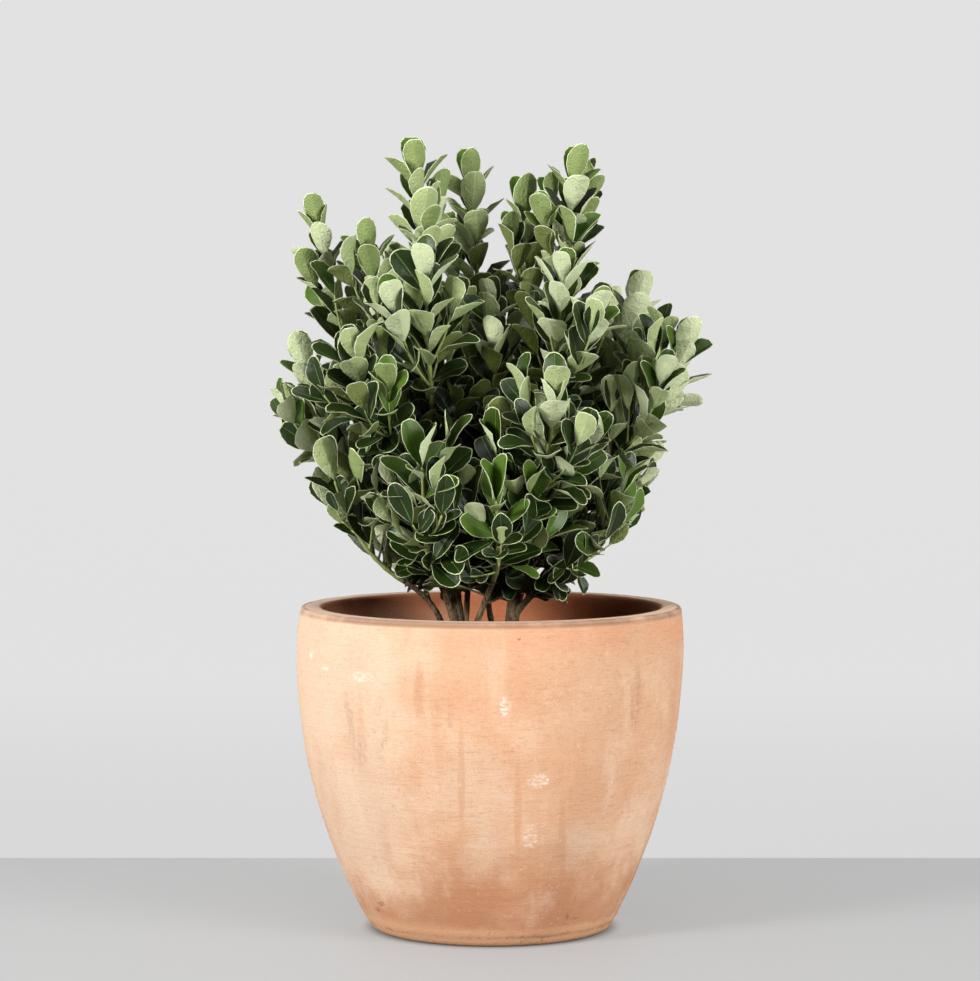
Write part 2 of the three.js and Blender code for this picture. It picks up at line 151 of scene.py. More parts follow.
def ripple(places, size, seed):
    """Smooth noise of about -1 to 1: the sum of cosine waves about `size` long, each in a random
    direction, divided by the root of their number."""
    random = np.random.default_rng(seed)
    direction = random.normal(size=(RIPPLE_WAVES, 3))
    direction /= np.linalg.norm(direction, axis=1, keepdims=True)
    number = 2 * np.pi / (size * random.uniform(*RIPPLE_LENGTHS, (RIPPLE_WAVES, 1)))
    phase = random.uniform(0, 2 * np.pi, RIPPLE_WAVES)
    waves = np.cos(places @ (direction * number).T + phase)
    return waves.sum(-1) / math.sqrt(RIPPLE_WAVES * RIPPLE_CALM)


# %% [markdown]
# ## Shader maths as plain expressions
# A finish is a tree of nodes. Writing `1 - mask` is easier to read than making a Math node and linking
# it, so a small class wraps a socket and its operators add the nodes. Every other node comes from one
# method, `node`, that takes the node's type, its settings, and what goes into its sockets.

# %% Finish class
def operator(operation, reflected=False):
    """A method of a wire that adds a Math node; reflected, for a wire on the right of a number."""

    def method(wire, other=0.0):
        first, second = (other, wire) if reflected else (wire, other)
        return wire.finish.node("ShaderNodeMath", {"operation": operation}, {0: first, 1: second})

    return method


class Wire:
    """One output socket of a finish; arithmetic on it adds Math nodes."""

    __add__, __radd__ = operator("ADD"), operator("ADD", True)
    __sub__, __rsub__ = operator("SUBTRACT"), operator("SUBTRACT", True)
    __mul__, __rmul__ = operator("MULTIPLY"), operator("MULTIPLY", True)
    __truediv__, __rtruediv__ = operator("DIVIDE"), operator("DIVIDE", True)
    __pow__, __rpow__ = operator("POWER"), operator("POWER", True)
    __abs__ = operator("ABSOLUTE")

    def __init__(self, finish, socket):
        self.finish = finish
        self.socket = socket

    def step(self, low, high):
        """0 below low, 1 above high and a smooth step between; high may lie below low."""
        settings = {"interpolation_type": "SMOOTHSTEP"}
        inputs = {0: self, 1: low, 2: high, 3: 0.0, 4: 1.0}
        return self.finish.node("ShaderNodeMapRange", settings, inputs)


class Finish:
    """A material with a Principled shader, and the calls that add nodes to it."""

    def __init__(self, name, color, roughness, specular):
        self.material = bpy.data.materials.new(name)
        self.material.use_nodes = True
        self.tree = self.material.node_tree
        self.shader = self.tree.nodes["Principled BSDF"]
        self.set("Base Color", color)
        self.set("Roughness", roughness)
        self.set("Specular IOR Level", specular)

    def set(self, socket, value):
        """Gives one of the shader's sockets a value, or a link where the value is a wire."""
        self._feed(self.shader.inputs[socket], value)

    def _feed(self, socket, value):
        if isinstance(value, Wire):
            self.tree.links.new(value.socket, socket)
        elif isinstance(value, (tuple, list)) and socket.type == "RGBA":
            socket.default_value = (*value[:3], 1.0)
        else:
            socket.default_value = value

    def node(self, kind, settings=None, inputs=None, output=0):
        """A new node of that type, its settings made first, then its sockets fed; gives one output."""
        node = self.tree.nodes.new(kind)
        for key, value in (settings or {}).items():
            setattr(node, key, value)
        for key, value in (inputs or {}).items():
            self._feed(node.inputs[key], value)
        return Wire(self, node.outputs[output])

    def place(self):
        """The piece's own coordinates, in metres."""
        return self.node("ShaderNodeTexCoord", output="Object")

    def axes(self, vector):
        """The three numbers of a vector."""
        parts = self.node("ShaderNodeSeparateXYZ", inputs={0: vector})
        return [Wire(self, output) for output in parts.socket.node.outputs]

    def noise(self, vector, lumps, detail, rough=0.55):
        """Noise from 0 to 1, with so many lumps to a metre, or with a number for each axis."""
        if isinstance(lumps, tuple):
            settings = {"operation": "MULTIPLY"}
            vector = self.node("ShaderNodeVectorMath", settings, {0: vector, 1: lumps})
            lumps = 1.0
        inputs = {"Vector": vector, "Scale": lumps, "Detail": detail, "Roughness": rough}
        return self.node("ShaderNodeTexNoise", inputs=inputs)

    def mix(self, share, first, second):
        """One colour mixed into another."""
        settings = {"data_type": "RGBA", "blend_type": "MIX", "clamp_factor": True}
        return self.node("ShaderNodeMix", settings, {0: share, 6: first, 7: second}, output=2)

    def bump(self, height, depth):
        """Gives the shader a relief; depth is in metres for a height from 0 to 1."""
        inputs = {"Height": height, "Strength": 1.0, "Distance": depth}
        self.set("Normal", self.node("ShaderNodeBump", inputs=inputs))


def srgb(red, green, blue):
    """A colour as seen on a screen, 0 to 255, as the linear numbers that a shader takes."""
    share = np.array([red, green, blue]) / 255
    return tuple(np.where(share <= 0.04045, share / 12.92, ((share + 0.055) / 1.055) ** 2.4))


# %% [markdown]
# ## Camera, light and floor
# The camera stands three metres off, higher than the pot's rim, and looks slightly down, so the rim
# shows as a flat ellipse. Two soft lights stand to the left and right of it, the left one stronger, and
# a weak one hangs above. The room is pale where it is seen but gives hardly any light, so the inside of
# the crown is dark. The paper that sweeps up far behind is lit from within: no shadow falls on it. The
# floor glows as well, as painted light a little brighter to the left, with a painted shadow round the
# pot's foot.

# %% Camera
IMAGE_WIDTH = 980
FOCAL_PIXELS = 3321.4
CAMERA_PLACE = (-1.14, -3021.0, 559.3)
CAMERA_PITCH = 0.053
SENSOR = 36.0

camera_data = bpy.data.cameras.new("camera")
camera_data.sensor_fit = "HORIZONTAL"
camera_data.sensor_width = SENSOR
camera_data.lens = SENSOR * FOCAL_PIXELS / IMAGE_WIDTH
camera = put_object("camera", camera_data)
camera.location = [x * MM for x in CAMERA_PLACE]
camera.rotation_euler = (math.pi / 2 - CAMERA_PITCH, 0, 0)
bpy.context.scene.camera = camera
print(f"lens {camera_data.lens:.1f} mm")

# %% Lights
# Each light has its place, the side of its square, and its power in watts.
LIGHT_TARGET = (0, 0, 400)
LIGHTS = {
    "left": ((-2250, -1890, 1250), 800, 117.0),
    "right": ((2250, -1890, 1150), 1500, 99.0),
    "top": ((-200, -300, 2800), 1600, 22.0),
}
WORLD_LIGHT = 0.02
WORLD_SEEN = 0.72


def soft_light(name, place, side, power):
    """A square area light of that side and power, turned to face the target."""
    data = bpy.data.lights.new(name, "AREA")
    data.size = side * MM
    data.energy = power
    light = put_object(name, data)
    light.location = [x * MM for x in place]
    x, y, z = np.subtract(LIGHT_TARGET, place)
    tilt, turn = math.atan2(math.hypot(x, y), -z), math.atan2(y, x) - math.pi / 2
    light.rotation_euler = (tilt, 0, turn)


def studio_world():
    """The room around: it gives hardly any light, but is as pale as the paper where it is seen."""
    world = bpy.data.worlds.new("studio")
    world.use_nodes = True
    nodes, links = world.node_tree.nodes, world.node_tree.links
    dim, pale = nodes["Background"], nodes.new("ShaderNodeBackground")
    for background, strength in ((dim, WORLD_LIGHT), (pale, WORLD_SEEN)):
        background.inputs["Color"].default_value = (1, 1, 1, 1)
        background.inputs["Strength"].default_value = strength
    path, mix = nodes.new("ShaderNodeLightPath"), nodes.new("ShaderNodeMixShader")
    sources = path.outputs["Is Camera Ray"], dim.outputs[0], pale.outputs[0]
    for source, socket in zip(sources, mix.inputs):
        links.new(source, socket)
    links.new(mix.outputs[0], nodes["World Output"].inputs["Surface"])
    return world


for light_name, light_row in LIGHTS.items():
    soft_light(light_name, *light_row)
bpy.context.scene.world = studio_world()
bpy.context.scene.view_settings.view_transform = "Standard"
print("lights:", ", ".join(LIGHTS))

# %% Floor and backdrop
FLOOR_BACK = 376.0
STAGE_HALF = 7000.0
STAGE_HIGH = 5000.0
SWEEP_FOOT, SWEEP_ROUND, SWEEP_STEPS = 3600.0, 600.0, 13
# The glow fades out between these radii, in metres, round the pot's foot: a painted shadow.
CONTACT_SHADE = (0.122, 0.1)


def stage_finish(name, grey, axis, fade, glows, roughness, specular):
    """A pale studio surface: it glows, from one grey to another along an axis, and reflects a little
    light. On the floor the glow is painted light, a little brighter to the left, and it fades to a
    painted shadow where the pot stands."""
    finish = Finish(name, (grey,) * 3, roughness, specular)
    axes = finish.axes(finish.place())
    first, last = ((glow,) * 3 for glow in glows)
    glow = finish.mix(axes[axis].step(*fade), first, last)
    # Painted shadow: the glow goes to black under and round the pot's foot.
    shade = ((axes[0] * axes[0] + axes[1] * axes[1]) ** 0.5).step(*CONTACT_SHADE)
    finish.set("Emission Color", finish.mix(shade, glow, (0.0, 0.0, 0.0)))
    finish.set("Emission Strength", 1.0)
    return finish.material


def stage_sheet(name, profile, finish):
    """A sheet of the studio, which isn't part of the plant: a line of depth and height carried from
    left to right."""
    line = np.asarray(profile, float)
    ends = [np.column_stack([np.full(len(line), x), line]) for x in (-STAGE_HALF, STAGE_HALF)]
    mesh = bpy.data.meshes.new(name)
    faces = grid_faces(len(line), 2, wrap=False)
    mesh.from_pydata(np.stack(ends, 1).reshape(-1, 3) * MM, [], faces)
    mesh.materials.append(finish)
    put_object(name, mesh)


sweep_turn = np.linspace(0, np.pi / 2, SWEEP_STEPS)
sweep_depth = SWEEP_FOOT + SWEEP_ROUND * np.sin(sweep_turn)
sweep_height = SWEEP_ROUND * (1 - np.cos(sweep_turn))
sweep = np.column_stack([sweep_depth, sweep_height])
# The floor's glow, brighter to the left, is painted light; the paper is lit from within.
floor_look = dict(grey=0.2, axis=0, fade=(-0.5, 0.4), glows=(0.345, 0.325), roughness=0.55, specular=0.05)
paper_look = dict(grey=0.02, axis=1, fade=(0.5, 2.2), glows=(0.675, 0.745), roughness=0.9, specular=0.0)
floor_line = [(-STAGE_HALF, 0), (FLOOR_BACK, 0)]
paper_line = [(FLOOR_BACK, 0), *sweep, (SWEEP_FOOT + SWEEP_ROUND, STAGE_HIGH)]
stage_sheet("studio_floor", floor_line, stage_finish("studio_floor", **floor_look))
stage_sheet("studio_backdrop", paper_line, stage_finish("studio_paper", **paper_look))
print("floor to", FLOOR_BACK, "mm behind the pot, backdrop of", len(sweep), "steps")

# %% [markdown]
# ## The pot
# An egg-shaped terracotta pot, thrown on a wheel: its wall swells from a narrow foot to a belly near
# the rim. A lathe of a plain profile gives the form. The hand of the potter is added to the same grid:
# a slightly untrue round, faint turning rings, a soft ridge above the foot and a few chips on the rim.

# %% Pot shape
POT_HEIGHT = 294.0
FOOT_RADIUS = 107.0
FOOT_CHAMFER = 2.5
BELLY_RADIUS = 175.5
BELLY_HEIGHT = 262.0
BELLY_POWER = 0.85
RIM_RADIUS = 173.5
RIM_ROUND = 3.5
WALL = 20.0
POT_FLOOR = 24.0
FLOOR_CORNER = 8.0
UNDER_FLAT = 60.0
FLOOR_RING = 40.0
POT_SIDES, WALL_ROWS, RIM_ROWS, INSIDE_ROWS = 168, 110, 7, 50


def pot_radius(z):
    """The outer radius at a height: a sine swell from foot to belly, then a slight draw to the rim."""
    swell = np.sin(np.pi / 2 * np.clip(z / BELLY_HEIGHT, 0, 1) ** BELLY_POWER)
    above = np.clip((z - BELLY_HEIGHT) / (POT_HEIGHT - BELLY_HEIGHT), 0, 1)
    belly = FOOT_RADIUS + (BELLY_RADIUS - FOOT_RADIUS) * swell
    return belly - (BELLY_RADIUS - RIM_RADIUS) * above**2


def pot_profile():
    """Radius and height along the pot's section: underside, foot, wall, rim, inner wall and floor."""
    shoulder = POT_HEIGHT - RIM_ROUND
    wall = np.linspace(FOOT_CHAMFER, shoulder, WALL_ROWS)
    inside = np.linspace(shoulder, POT_FLOOR + FLOOR_CORNER, INSIDE_ROWS)[1:]
    turn = np.linspace(0, np.pi / 2, RIM_ROWS)[1:]
    sine, cosine = RIM_ROUND * np.sin(turn), RIM_ROUND * np.cos(turn)
    outer = float(pot_radius(shoulder))
    floor_edge = pot_radius(POT_FLOOR) - WALL - FLOOR_CORNER
    parts = [
        [(0, 0), (UNDER_FLAT, 0), (FOOT_RADIUS - FOOT_CHAMFER, 0)],
        np.column_stack([pot_radius(wall), wall]),
        np.column_stack([outer - RIM_ROUND + cosine, shoulder + sine]),
        np.column_stack([outer - WALL + RIM_ROUND - sine, shoulder + cosine]),
        np.column_stack([pot_radius(inside) - WALL, inside]),
        [(floor_edge, POT_FLOOR), (FLOOR_RING, POT_FLOOR), (0, POT_FLOOR)],
    ]
    return np.concatenate(parts)


def lathe(profile, sides):
    """A closed surface: the profile's radius and height carried round the pot's axis."""
    angle = np.arange(sides) * 2 * np.pi / sides
    radius, height = profile[:, :1], profile[:, 1:]
    return np.stack([radius * np.cos(angle), radius * np.sin(angle), height + 0 * angle], -1)


plain_pot = lathe(pot_profile(), POT_SIDES)
print("plain pot:", plain_pot.shape[0], "rows of", POT_SIDES, "points")

# %% Traces of the potter
FREE_HEIGHT = 12.0
UNTRUE, UNTRUE_POWER, OVAL, OVAL_TURN = 1.7, 0.6, 0.4, 0.8
RING_DEPTH, RING_COUNT, RING_DRIFT = 0.14, 0.9, 0.05
RIDGE_HEIGHT, RIDGE_HALF, RIDGE_DEPTH = 12.0, 1.8, 0.9
WAVER = 0.6
LUMP_DEPTH, LUMP_SIZE = 0.35, 60.0
LUMP_SEED, CHIP_SEED, RIM_SEED = 5, 6, 7
EDGE_BELOW, EDGE_HALF = 2.5, 3.0
CHIP_DEPTH, CHIP_SIZE, CHIP_FROM = 0.8, 9.0, 0.9
RIM_MIDDLE = 164.0
RIM_WAVE, RIM_WAVE_SIZE = 0.35, 70.0


def weathered(places):
    """The lathe's grid with its radius changed by an untrue round, turning rings, a ridge above the
    foot, lumps and chips of the rim, and with a rim that isn't quite level."""
    x, y, height = np.moveaxis(places, -1, 0)
    radius, angle = np.hypot(x, y), np.arctan2(y, x)
    free = np.clip(height / FREE_HEIGHT, 0, 1) * (radius > UNDER_FLAT)
    full = np.sin(np.pi * np.clip(height / POT_HEIGHT, 0, 1)) ** UNTRUE_POWER
    untrue = UNTRUE * full * (1 - np.cos(angle)) + OVAL * np.cos(2 * angle + OVAL_TURN) - OVAL
    drift = height * RING_COUNT + 2 * np.sin(height * RING_DRIFT)
    rings = RING_DEPTH * np.sin(drift + WAVER * np.cos(angle))
    above = height - RIDGE_HEIGHT - WAVER * np.cos(angle)
    ridge = RIDGE_DEPTH * np.exp(-((above / RIDGE_HALF) ** 2))
    lumps = LUMP_DEPTH * ripple(places, LUMP_SIZE, LUMP_SEED)
    edge = np.exp(-(((height - POT_HEIGHT + EDGE_BELOW) / EDGE_HALF) ** 2))
    chips = -CHIP_DEPTH * edge * np.clip(ripple(places, CHIP_SIZE, CHIP_SEED) - CHIP_FROM, 0, 1)
    outward = np.sign(radius - RIM_MIDDLE)
    grown = radius + free * (untrue + rings + ridge + lumps + chips * outward)
    waves = RIM_WAVE * edge * ripple(places, RIM_WAVE_SIZE, RIM_SEED) * (height > POT_HEIGHT - 0.1)
    level = np.maximum(height + waves, 0)
    return np.stack([grown * np.cos(angle), grown * np.sin(angle), level], -1)


pot_grid = weathered(plain_pot)
print("potter's traces move points by up to", round(float(np.abs(pot_grid - plain_pot).max()), 1), "mm")

# %% [markdown]
# ## Terracotta
# Fired clay is paler towards the left and on its flanks, which is painted light from the side lamps,
# with cloudy patches of lime bloom. Low on the pot it turns darker and a deeper orange: partly the
# clay's own tone, partly painted shade. Weather adds soft drips, dark smudges and white patches of lime,
# the rim is worn grey, and the wheel leaves fine lines round the wall. Each of these is a mask from
# noise, from the height or from a few marked places, and the colours are laid over one another by
# their masks.

# %% Marked places
# Each oval is its middle from left to right, its height, its half width and its half height.
LIME_MARKS = [
    (42, 156, 14, 9), (33, 105, 9, 14), (12, 222, 6, 13),
    (-113, 243, 13, 7), (-146, 247, 5, 3), (-160, 256, 3, 6),
]
SMUDGE_MARKS = [
    (-97, 200, 9, 30), (-125, 208, 8, 32), (-116, 176, 8, 20), (127, 222, 7, 40), (-42, 214, 12, 20),
]
NICK_MARKS = [
    (67, 26, 2, 4), (74, 24, 5, 1.5), (-98, 34, 4, 3), (-101, 27, 2, 3), (24, 280, 2, 1.5),
]
DRIP_MARKS = [(-26, 156, 4, 66), (23, 130, 4, 60), (62, 96, 5, 50), (-62, 236, 6, 30)]
ORANGE_ZONES = [(-12, 236, 86, 34), (70, 150, 52, 62), (34, 52, 92, 52)]
PALE_ZONES = [(-16, 148, 40, 58), (-8, 84, 30, 34), (70, 92, 26, 34), (-120, 120, 50, 90)]


def marks(finish, place, ovals, ragged=0.0):
    """A mask of ovals on the pot's front: each fades towards its border, which noise can make
    ragged."""
    x, y, z = finish.axes(place)
    total = 0.0
    for middle, height, wide, high in ovals:
        across, up = (x - middle * MM) / (wide * MM), (z - height * MM) / (high * MM)
        total = (1.0 - across * across - up * up + ragged).step(0.0, 0.9) + total
    return total * y.step(0.02, -0.02)


print(len(LIME_MARKS), "patches of lime,", len(SMUDGE_MARKS), "smudges,", len(DRIP_MARKS), "drips")

# %% Terracotta finish
# Each noise has its lumps to a metre, or those along each axis, its detail and its roughness.
CLAY_NOISES = {
    "cloud": (7.0, 4.0),
    "blotch": (24.0, 5.0, 0.6),
    "speck": (240.0, 4.0, 0.65),
    "grain": (800.0, 2.0),
    "drip": ((30.0, 30.0, 4.0), 4.0),
    "ring": ((3.0, 3.0, 420.0), 2.0),
    "brush": ((80.0, 80.0, 900.0), 3.0, 0.6),
    "scratch": ((170.0, 170.0, 480.0), 5.0, 0.7),
    "streak": ((150.0, 150.0, 30.0), 4.0, 0.6),
    "bloom": (34.0, 6.0, 0.75),
}


def terracotta():
    """Unglazed clay: pale to deep orange by place and noise, with bloom, drips, smudges, lime, nicks
    and a worn rim. Paler to the left and on the flanks is painted light, and darker low down is partly
    painted shade. The layers are mixed in one after the other, each by its mask."""
    clay = Finish("terracotta", srgb(214, 174, 142), 0.85, 0.25)
    place = clay.place()
    x, y, z = clay.axes(place)
    cloud, blotch, speck, grain, drip, ring, brush, scratch, streak, bloom = (
        clay.noise(place, *row) for row in CLAY_NOISES.values()
    )
    flank, radius = abs(x), (x * x + y * y) ** 0.5
    patch = blotch - 0.5
    ragged = patch * 1.6 + (drip - 0.5) * 1.4
    # Painted light: paler towards the left and on both flanks where the side lamps fall, with cloudy lime
    # bloom.
    pale = (cloud * 0.7 + flank * 1.6 - x * 0.9 + patch * 0.7).step(0.3, 0.74)
    # Darker and more orange low down, less so on the left: partly the clay's own tone, partly painted
    # shade.
    low = (z + flank * 0.25 - x * 0.25 + (cloud - 0.5) * 0.16 + patch * 0.12).step(0.12, 0.03)
    band = z.step(0.25, 0.278) * z.step(0.291, 0.286)
    band = band * (blotch * 0.5 + cloud * 0.5 + x * 0.8).step(0.46, 0.64)
    lime = marks(clay, place, LIME_MARKS, (speck - 0.5) * 2.4 - 0.2) * scratch.step(0.4, 0.62) * 0.6
    smudge = marks(clay, place, SMUDGE_MARKS, patch * 1.5)
    smudge = smudge * (streak * 0.8 + speck * 0.4).step(0.46, 0.9)
    foot = (z + patch * 0.03).step(0.024, 0.012)
    dirt = (z + patch * 0.04).step(0.03, 0.008) * (speck * 0.7 + blotch * 0.3).step(0.56, 0.64)
    crease = z.step(0.0065, 0.0085) * z.step(0.0112, 0.0092) * (speck + blotch).step(0.85, 1.15)
    worn = z.step(0.2905, 0.2932)
    edge = radius.step(0.1685, 0.1705) * z.step(0.287, 0.2905)
    inner = radius.step(0.1585, 0.1545) * z.step(0.2, 0.22)
    layers = [
        (marks(clay, place, ORANGE_ZONES, ragged) * 0.5, (201, 150, 113)),
        (marks(clay, place, PALE_ZONES, ragged) * 0.6, (207, 176, 150)),
        (marks(clay, place, DRIP_MARKS, ragged * 0.7) * 0.4, (188, 134, 98)),
        # Painted shade low on the pot, with a deeper orange clay.
        (low * 0.85, (176, 120, 86)),
        (drip.step(0.52, 0.74) * 0.3, (190, 130, 94)),
        (drip.step(0.46, 0.3) * 0.3, (224, 196, 172)),
        (band * 0.6, (204, 140, 102)),
        (ring.step(0.48, 0.75) * 0.06, (166, 110, 78)),
        (brush.step(0.5, 0.7) * (0.34 - pale * 0.16), (172, 118, 84)),
        (speck.step(0.55, 0.75) * 0.3, (168, 112, 80)),
        (grain.step(0.5, 0.72) * (0.3 - pale * 0.16), (164, 110, 78)),
        (speck.step(0.42, 0.25) * 0.3, (232, 206, 182)),
        (lime + bloom.step(0.72, 0.84) * 0.35, (244, 236, 228)),
        (smudge * 0.4, (128, 94, 66)),
        (foot * (0.5 + speck * 0.4), (204, 158, 120)),
        (dirt * 0.5, (112, 80, 56)),
        (crease * 0.5, (136, 92, 66)),
        (worn * (0.6 + speck * 0.4), (240, 207, 183)),
        (edge * (0.3 + (blotch + cloud * 0.6).step(0.62, 0.92) * 0.5), (140, 100, 74)),
        (marks(clay, place, NICK_MARKS) * scratch.step(0.36, 0.56) * 0.65, (116, 82, 60)),
        (inner * (0.75 + blotch * 0.25), (156, 84, 48)),
    ]
    # The paler clay follows the painted light of the pale mask.
    color = clay.mix(pale, srgb(206, 162, 129), srgb(219, 188, 160))
    for mask, tone in layers:
        color = clay.mix(mask, color, srgb(*tone))
    clay.set("Base Color", color)
    clay.set("Roughness", 0.78 + grain * 0.16)
    clay.bump(grain * 0.5 + ring * 0.1 + brush * 0.2 + speck * 0.35, 0.001)
    return clay.material


put_piece("pot_wall", joined([pot_grid]), [terracotta()], ["pot"])

# %% [markdown]
# ## The soil
# Dark potting soil fills the pot to some five centimetres below the rim. It is a lathe too, a plug whose
# top is roughened by noise of several sizes and heaped a little round the stems. Loose crumbs are one
# small lump shape, set down four hundred times by arrays of places, sizes and turns.

# %% Soil plug
SOIL_TOP = 248.0
SOIL_DIP = 1.5
SOIL_GAP = 1.0
SOIL_FOOT = POT_FLOOR + 0.5
SOIL_EDGE, SOIL_RING, TUCK_RUN = 3.0, 50.0, 6.0
SOIL_SEED = 11
SOIL_SIDES, SOIL_SIDE_ROWS, SOIL_TOP_ROWS = 120, 8, 46
SOIL_LUMPS = ((1.2, 26.0), (0.8, 9.0), (0.35, 4.0))
HEAP_HEIGHT, HEAP_HALF, HEAP_LEFT = 3.0, 60.0, 10.0


def soil_height(places):
    """The height of the soil's top at places in plan: level, with lumps of three sizes and a heap by
    the stems."""
    x, y = places[..., 0], places[..., 1]
    flat = np.stack([x, y, 0 * x], -1)
    heap = HEAP_HEIGHT * np.exp(-((np.hypot(x + HEAP_LEFT, y) / HEAP_HALF) ** 2))
    seeds = enumerate(SOIL_LUMPS, SOIL_SEED)
    lumps = sum(depth * ripple(flat, size, seed) for seed, (depth, size) in seeds)
    return SOIL_TOP - SOIL_DIP + heap + lumps


def soil_profile():
    """Radius and height of the plug's section: bottom, side and top, in from the wall to the middle."""
    side = np.linspace(SOIL_FOOT, SOIL_TOP - SOIL_EDGE, SOIL_SIDE_ROWS)
    tuck = FLOOR_CORNER * np.exp(-(side - POT_FLOOR) / TUCK_RUN)
    top, reach = np.linspace(1, 0, SOIL_TOP_ROWS), float(pot_radius(SOIL_TOP)) - WALL - SOIL_GAP
    parts = [
        [(0, SOIL_FOOT), (SOIL_RING, SOIL_FOOT)],
        np.column_stack([pot_radius(side) - WALL - SOIL_GAP - tuck, side]),
        np.column_stack([reach * top, np.full(SOIL_TOP_ROWS, SOIL_TOP)]),
    ]
    return np.concatenate(parts)


def soil_finish():
    """Dark, crumbly soil: brown to black lumps with a few pale fibres, rough all over."""
    soil = Finish("soil", srgb(58, 42, 32), 0.95, 0.2)
    place = soil.place()
    lump = soil.noise(place, 160.0, 5.0, 0.7)
    fibre = soil.noise(place, (700.0, 160.0, 300.0), 2.0)
    color = soil.mix(lump.step(0.35, 0.65), srgb(38, 27, 21), srgb(78, 58, 44))
    soil.set("Base Color", soil.mix(fibre.step(0.66, 0.72) * 0.6, color, srgb(128, 100, 74)))
    soil.set("Roughness", 0.85 + lump * 0.12)
    soil.bump(lump, 0.003)
    return soil.material


SOIL_FINISH = soil_finish()
soil_grid = lathe(soil_profile(), SOIL_SIDES)
on_top = soil_grid[..., 2] > SOIL_TOP - 0.1
soil_grid[..., 2] = np.where(on_top, soil_height(soil_grid), soil_grid[..., 2])
put_piece("soil_plug", joined([soil_grid]), [SOIL_FINISH], ["soil"])

# %% Soil crumbs
CRUMB_SEED, BUMP_SEED = 31, 21
CRUMB_COUNT = 420
CRUMB_REACH = 146
CRUMB_ROWS, CRUMB_SIDES = 5, 7
CRUMB_BUMPS, CRUMB_BUMP_SIZE = 0.22, 1.6
CRUMB_RATIOS = (0.7, 1.3)
CRUMB_GAMMA = (3.0, 0.9)


def copies(placed, corners, sizes):
    """Many copies of one shape as one: the points of all, and its corners and sizes for each."""
    count, points = placed.shape[:2]
    every = corners + np.arange(count)[:, None] * points
    return placed.reshape(-1, 3), every.ravel(), np.tile(sizes, count)


def set_down(shapes, roots, frames, sizes):
    """A shape, or one for each place: points times each size, turned by each frame and moved."""
    scaled = shapes * np.asarray(sizes).reshape(len(roots), 1, -1)
    return np.einsum("mij,mpj->mpi", frames, scaled) + roots[:, None]


def random_turns(random, count):
    """Frames turned any way: square axes from random numbers."""
    frames, _ = np.linalg.qr(random.normal(size=(count, 3, 3)))
    return frames * np.sign(np.linalg.det(frames))[:, None, None]


def lump_shape():
    """A small closed lump: a sphere of four by seven faces with a bumpy radius."""
    polar = np.linspace(0, np.pi, CRUMB_ROWS)[:, None]
    angle = np.arange(CRUMB_SIDES) * 2 * np.pi / CRUMB_SIDES
    x, y = np.sin(polar) * np.cos(angle), np.sin(polar) * np.sin(angle)
    ball = np.stack([x, y, np.cos(polar) + 0 * angle], -1)
    bumpy = ball * (1 + CRUMB_BUMPS * ripple(ball, CRUMB_BUMP_SIZE, BUMP_SEED))[..., None]
    bumpy[[0, -1]] = bumpy[[0, -1], :1]
    return welded(bumpy.reshape(-1, 3), grid_faces(CRUMB_ROWS, CRUMB_SIDES)[:, ::-1])


crumb_random = np.random.default_rng(CRUMB_SEED)
crumb_points, *crumb_faces = lump_shape()
crumb_reach = CRUMB_REACH * np.sqrt(crumb_random.uniform(0, 1, CRUMB_COUNT))
crumb_angle = crumb_random.uniform(0, 2 * np.pi, CRUMB_COUNT)
crumb_plan = crumb_reach * np.cos(crumb_angle), crumb_reach * np.sin(crumb_angle), 0 * crumb_angle
crumb_roots = np.stack(crumb_plan, -1)
crumb_roots[:, 2] = soil_height(crumb_roots)
crumb_ratios = crumb_random.uniform(*CRUMB_RATIOS, (CRUMB_COUNT, 3))
crumb_sizes = crumb_ratios * crumb_random.gamma(*CRUMB_GAMMA, (CRUMB_COUNT, 1))
crumb_turns = random_turns(crumb_random, CRUMB_COUNT)
crumbs = set_down(crumb_points, crumb_roots, crumb_turns, crumb_sizes)
put_piece("soil_crumbs", copies(crumbs, *crumb_faces), [SOIL_FINISH])

# %% [markdown]
# ## Limbs as curves
# Stems, boughs and twigs are all the same kind of thing: a round section carried along a curve, with a
# radius that changes on the way. A limb here is a Bezier curve with a table of its length, so that a
# place can be asked for by its share of the run, with two directions square to the run.

# %% Limb
UP = np.array([0.0, 0.0, 1.0])
LIMB_STEPS = 101


def unit(vectors):
    """Vectors shortened or stretched to length one."""
    return vectors / np.linalg.norm(vectors, axis=-1, keepdims=True)


def bezier(control, t):
    """Points of a Bezier curve: neighbouring control points are blended by t until one is left."""
    layer = [np.asarray(point, float)[None] for point in control]
    share = np.atleast_1d(t)[:, None]
    while len(layer) > 1:
        layer = [a + (b - a) * share for a, b in zip(layer, layer[1:])]
    return layer[0]


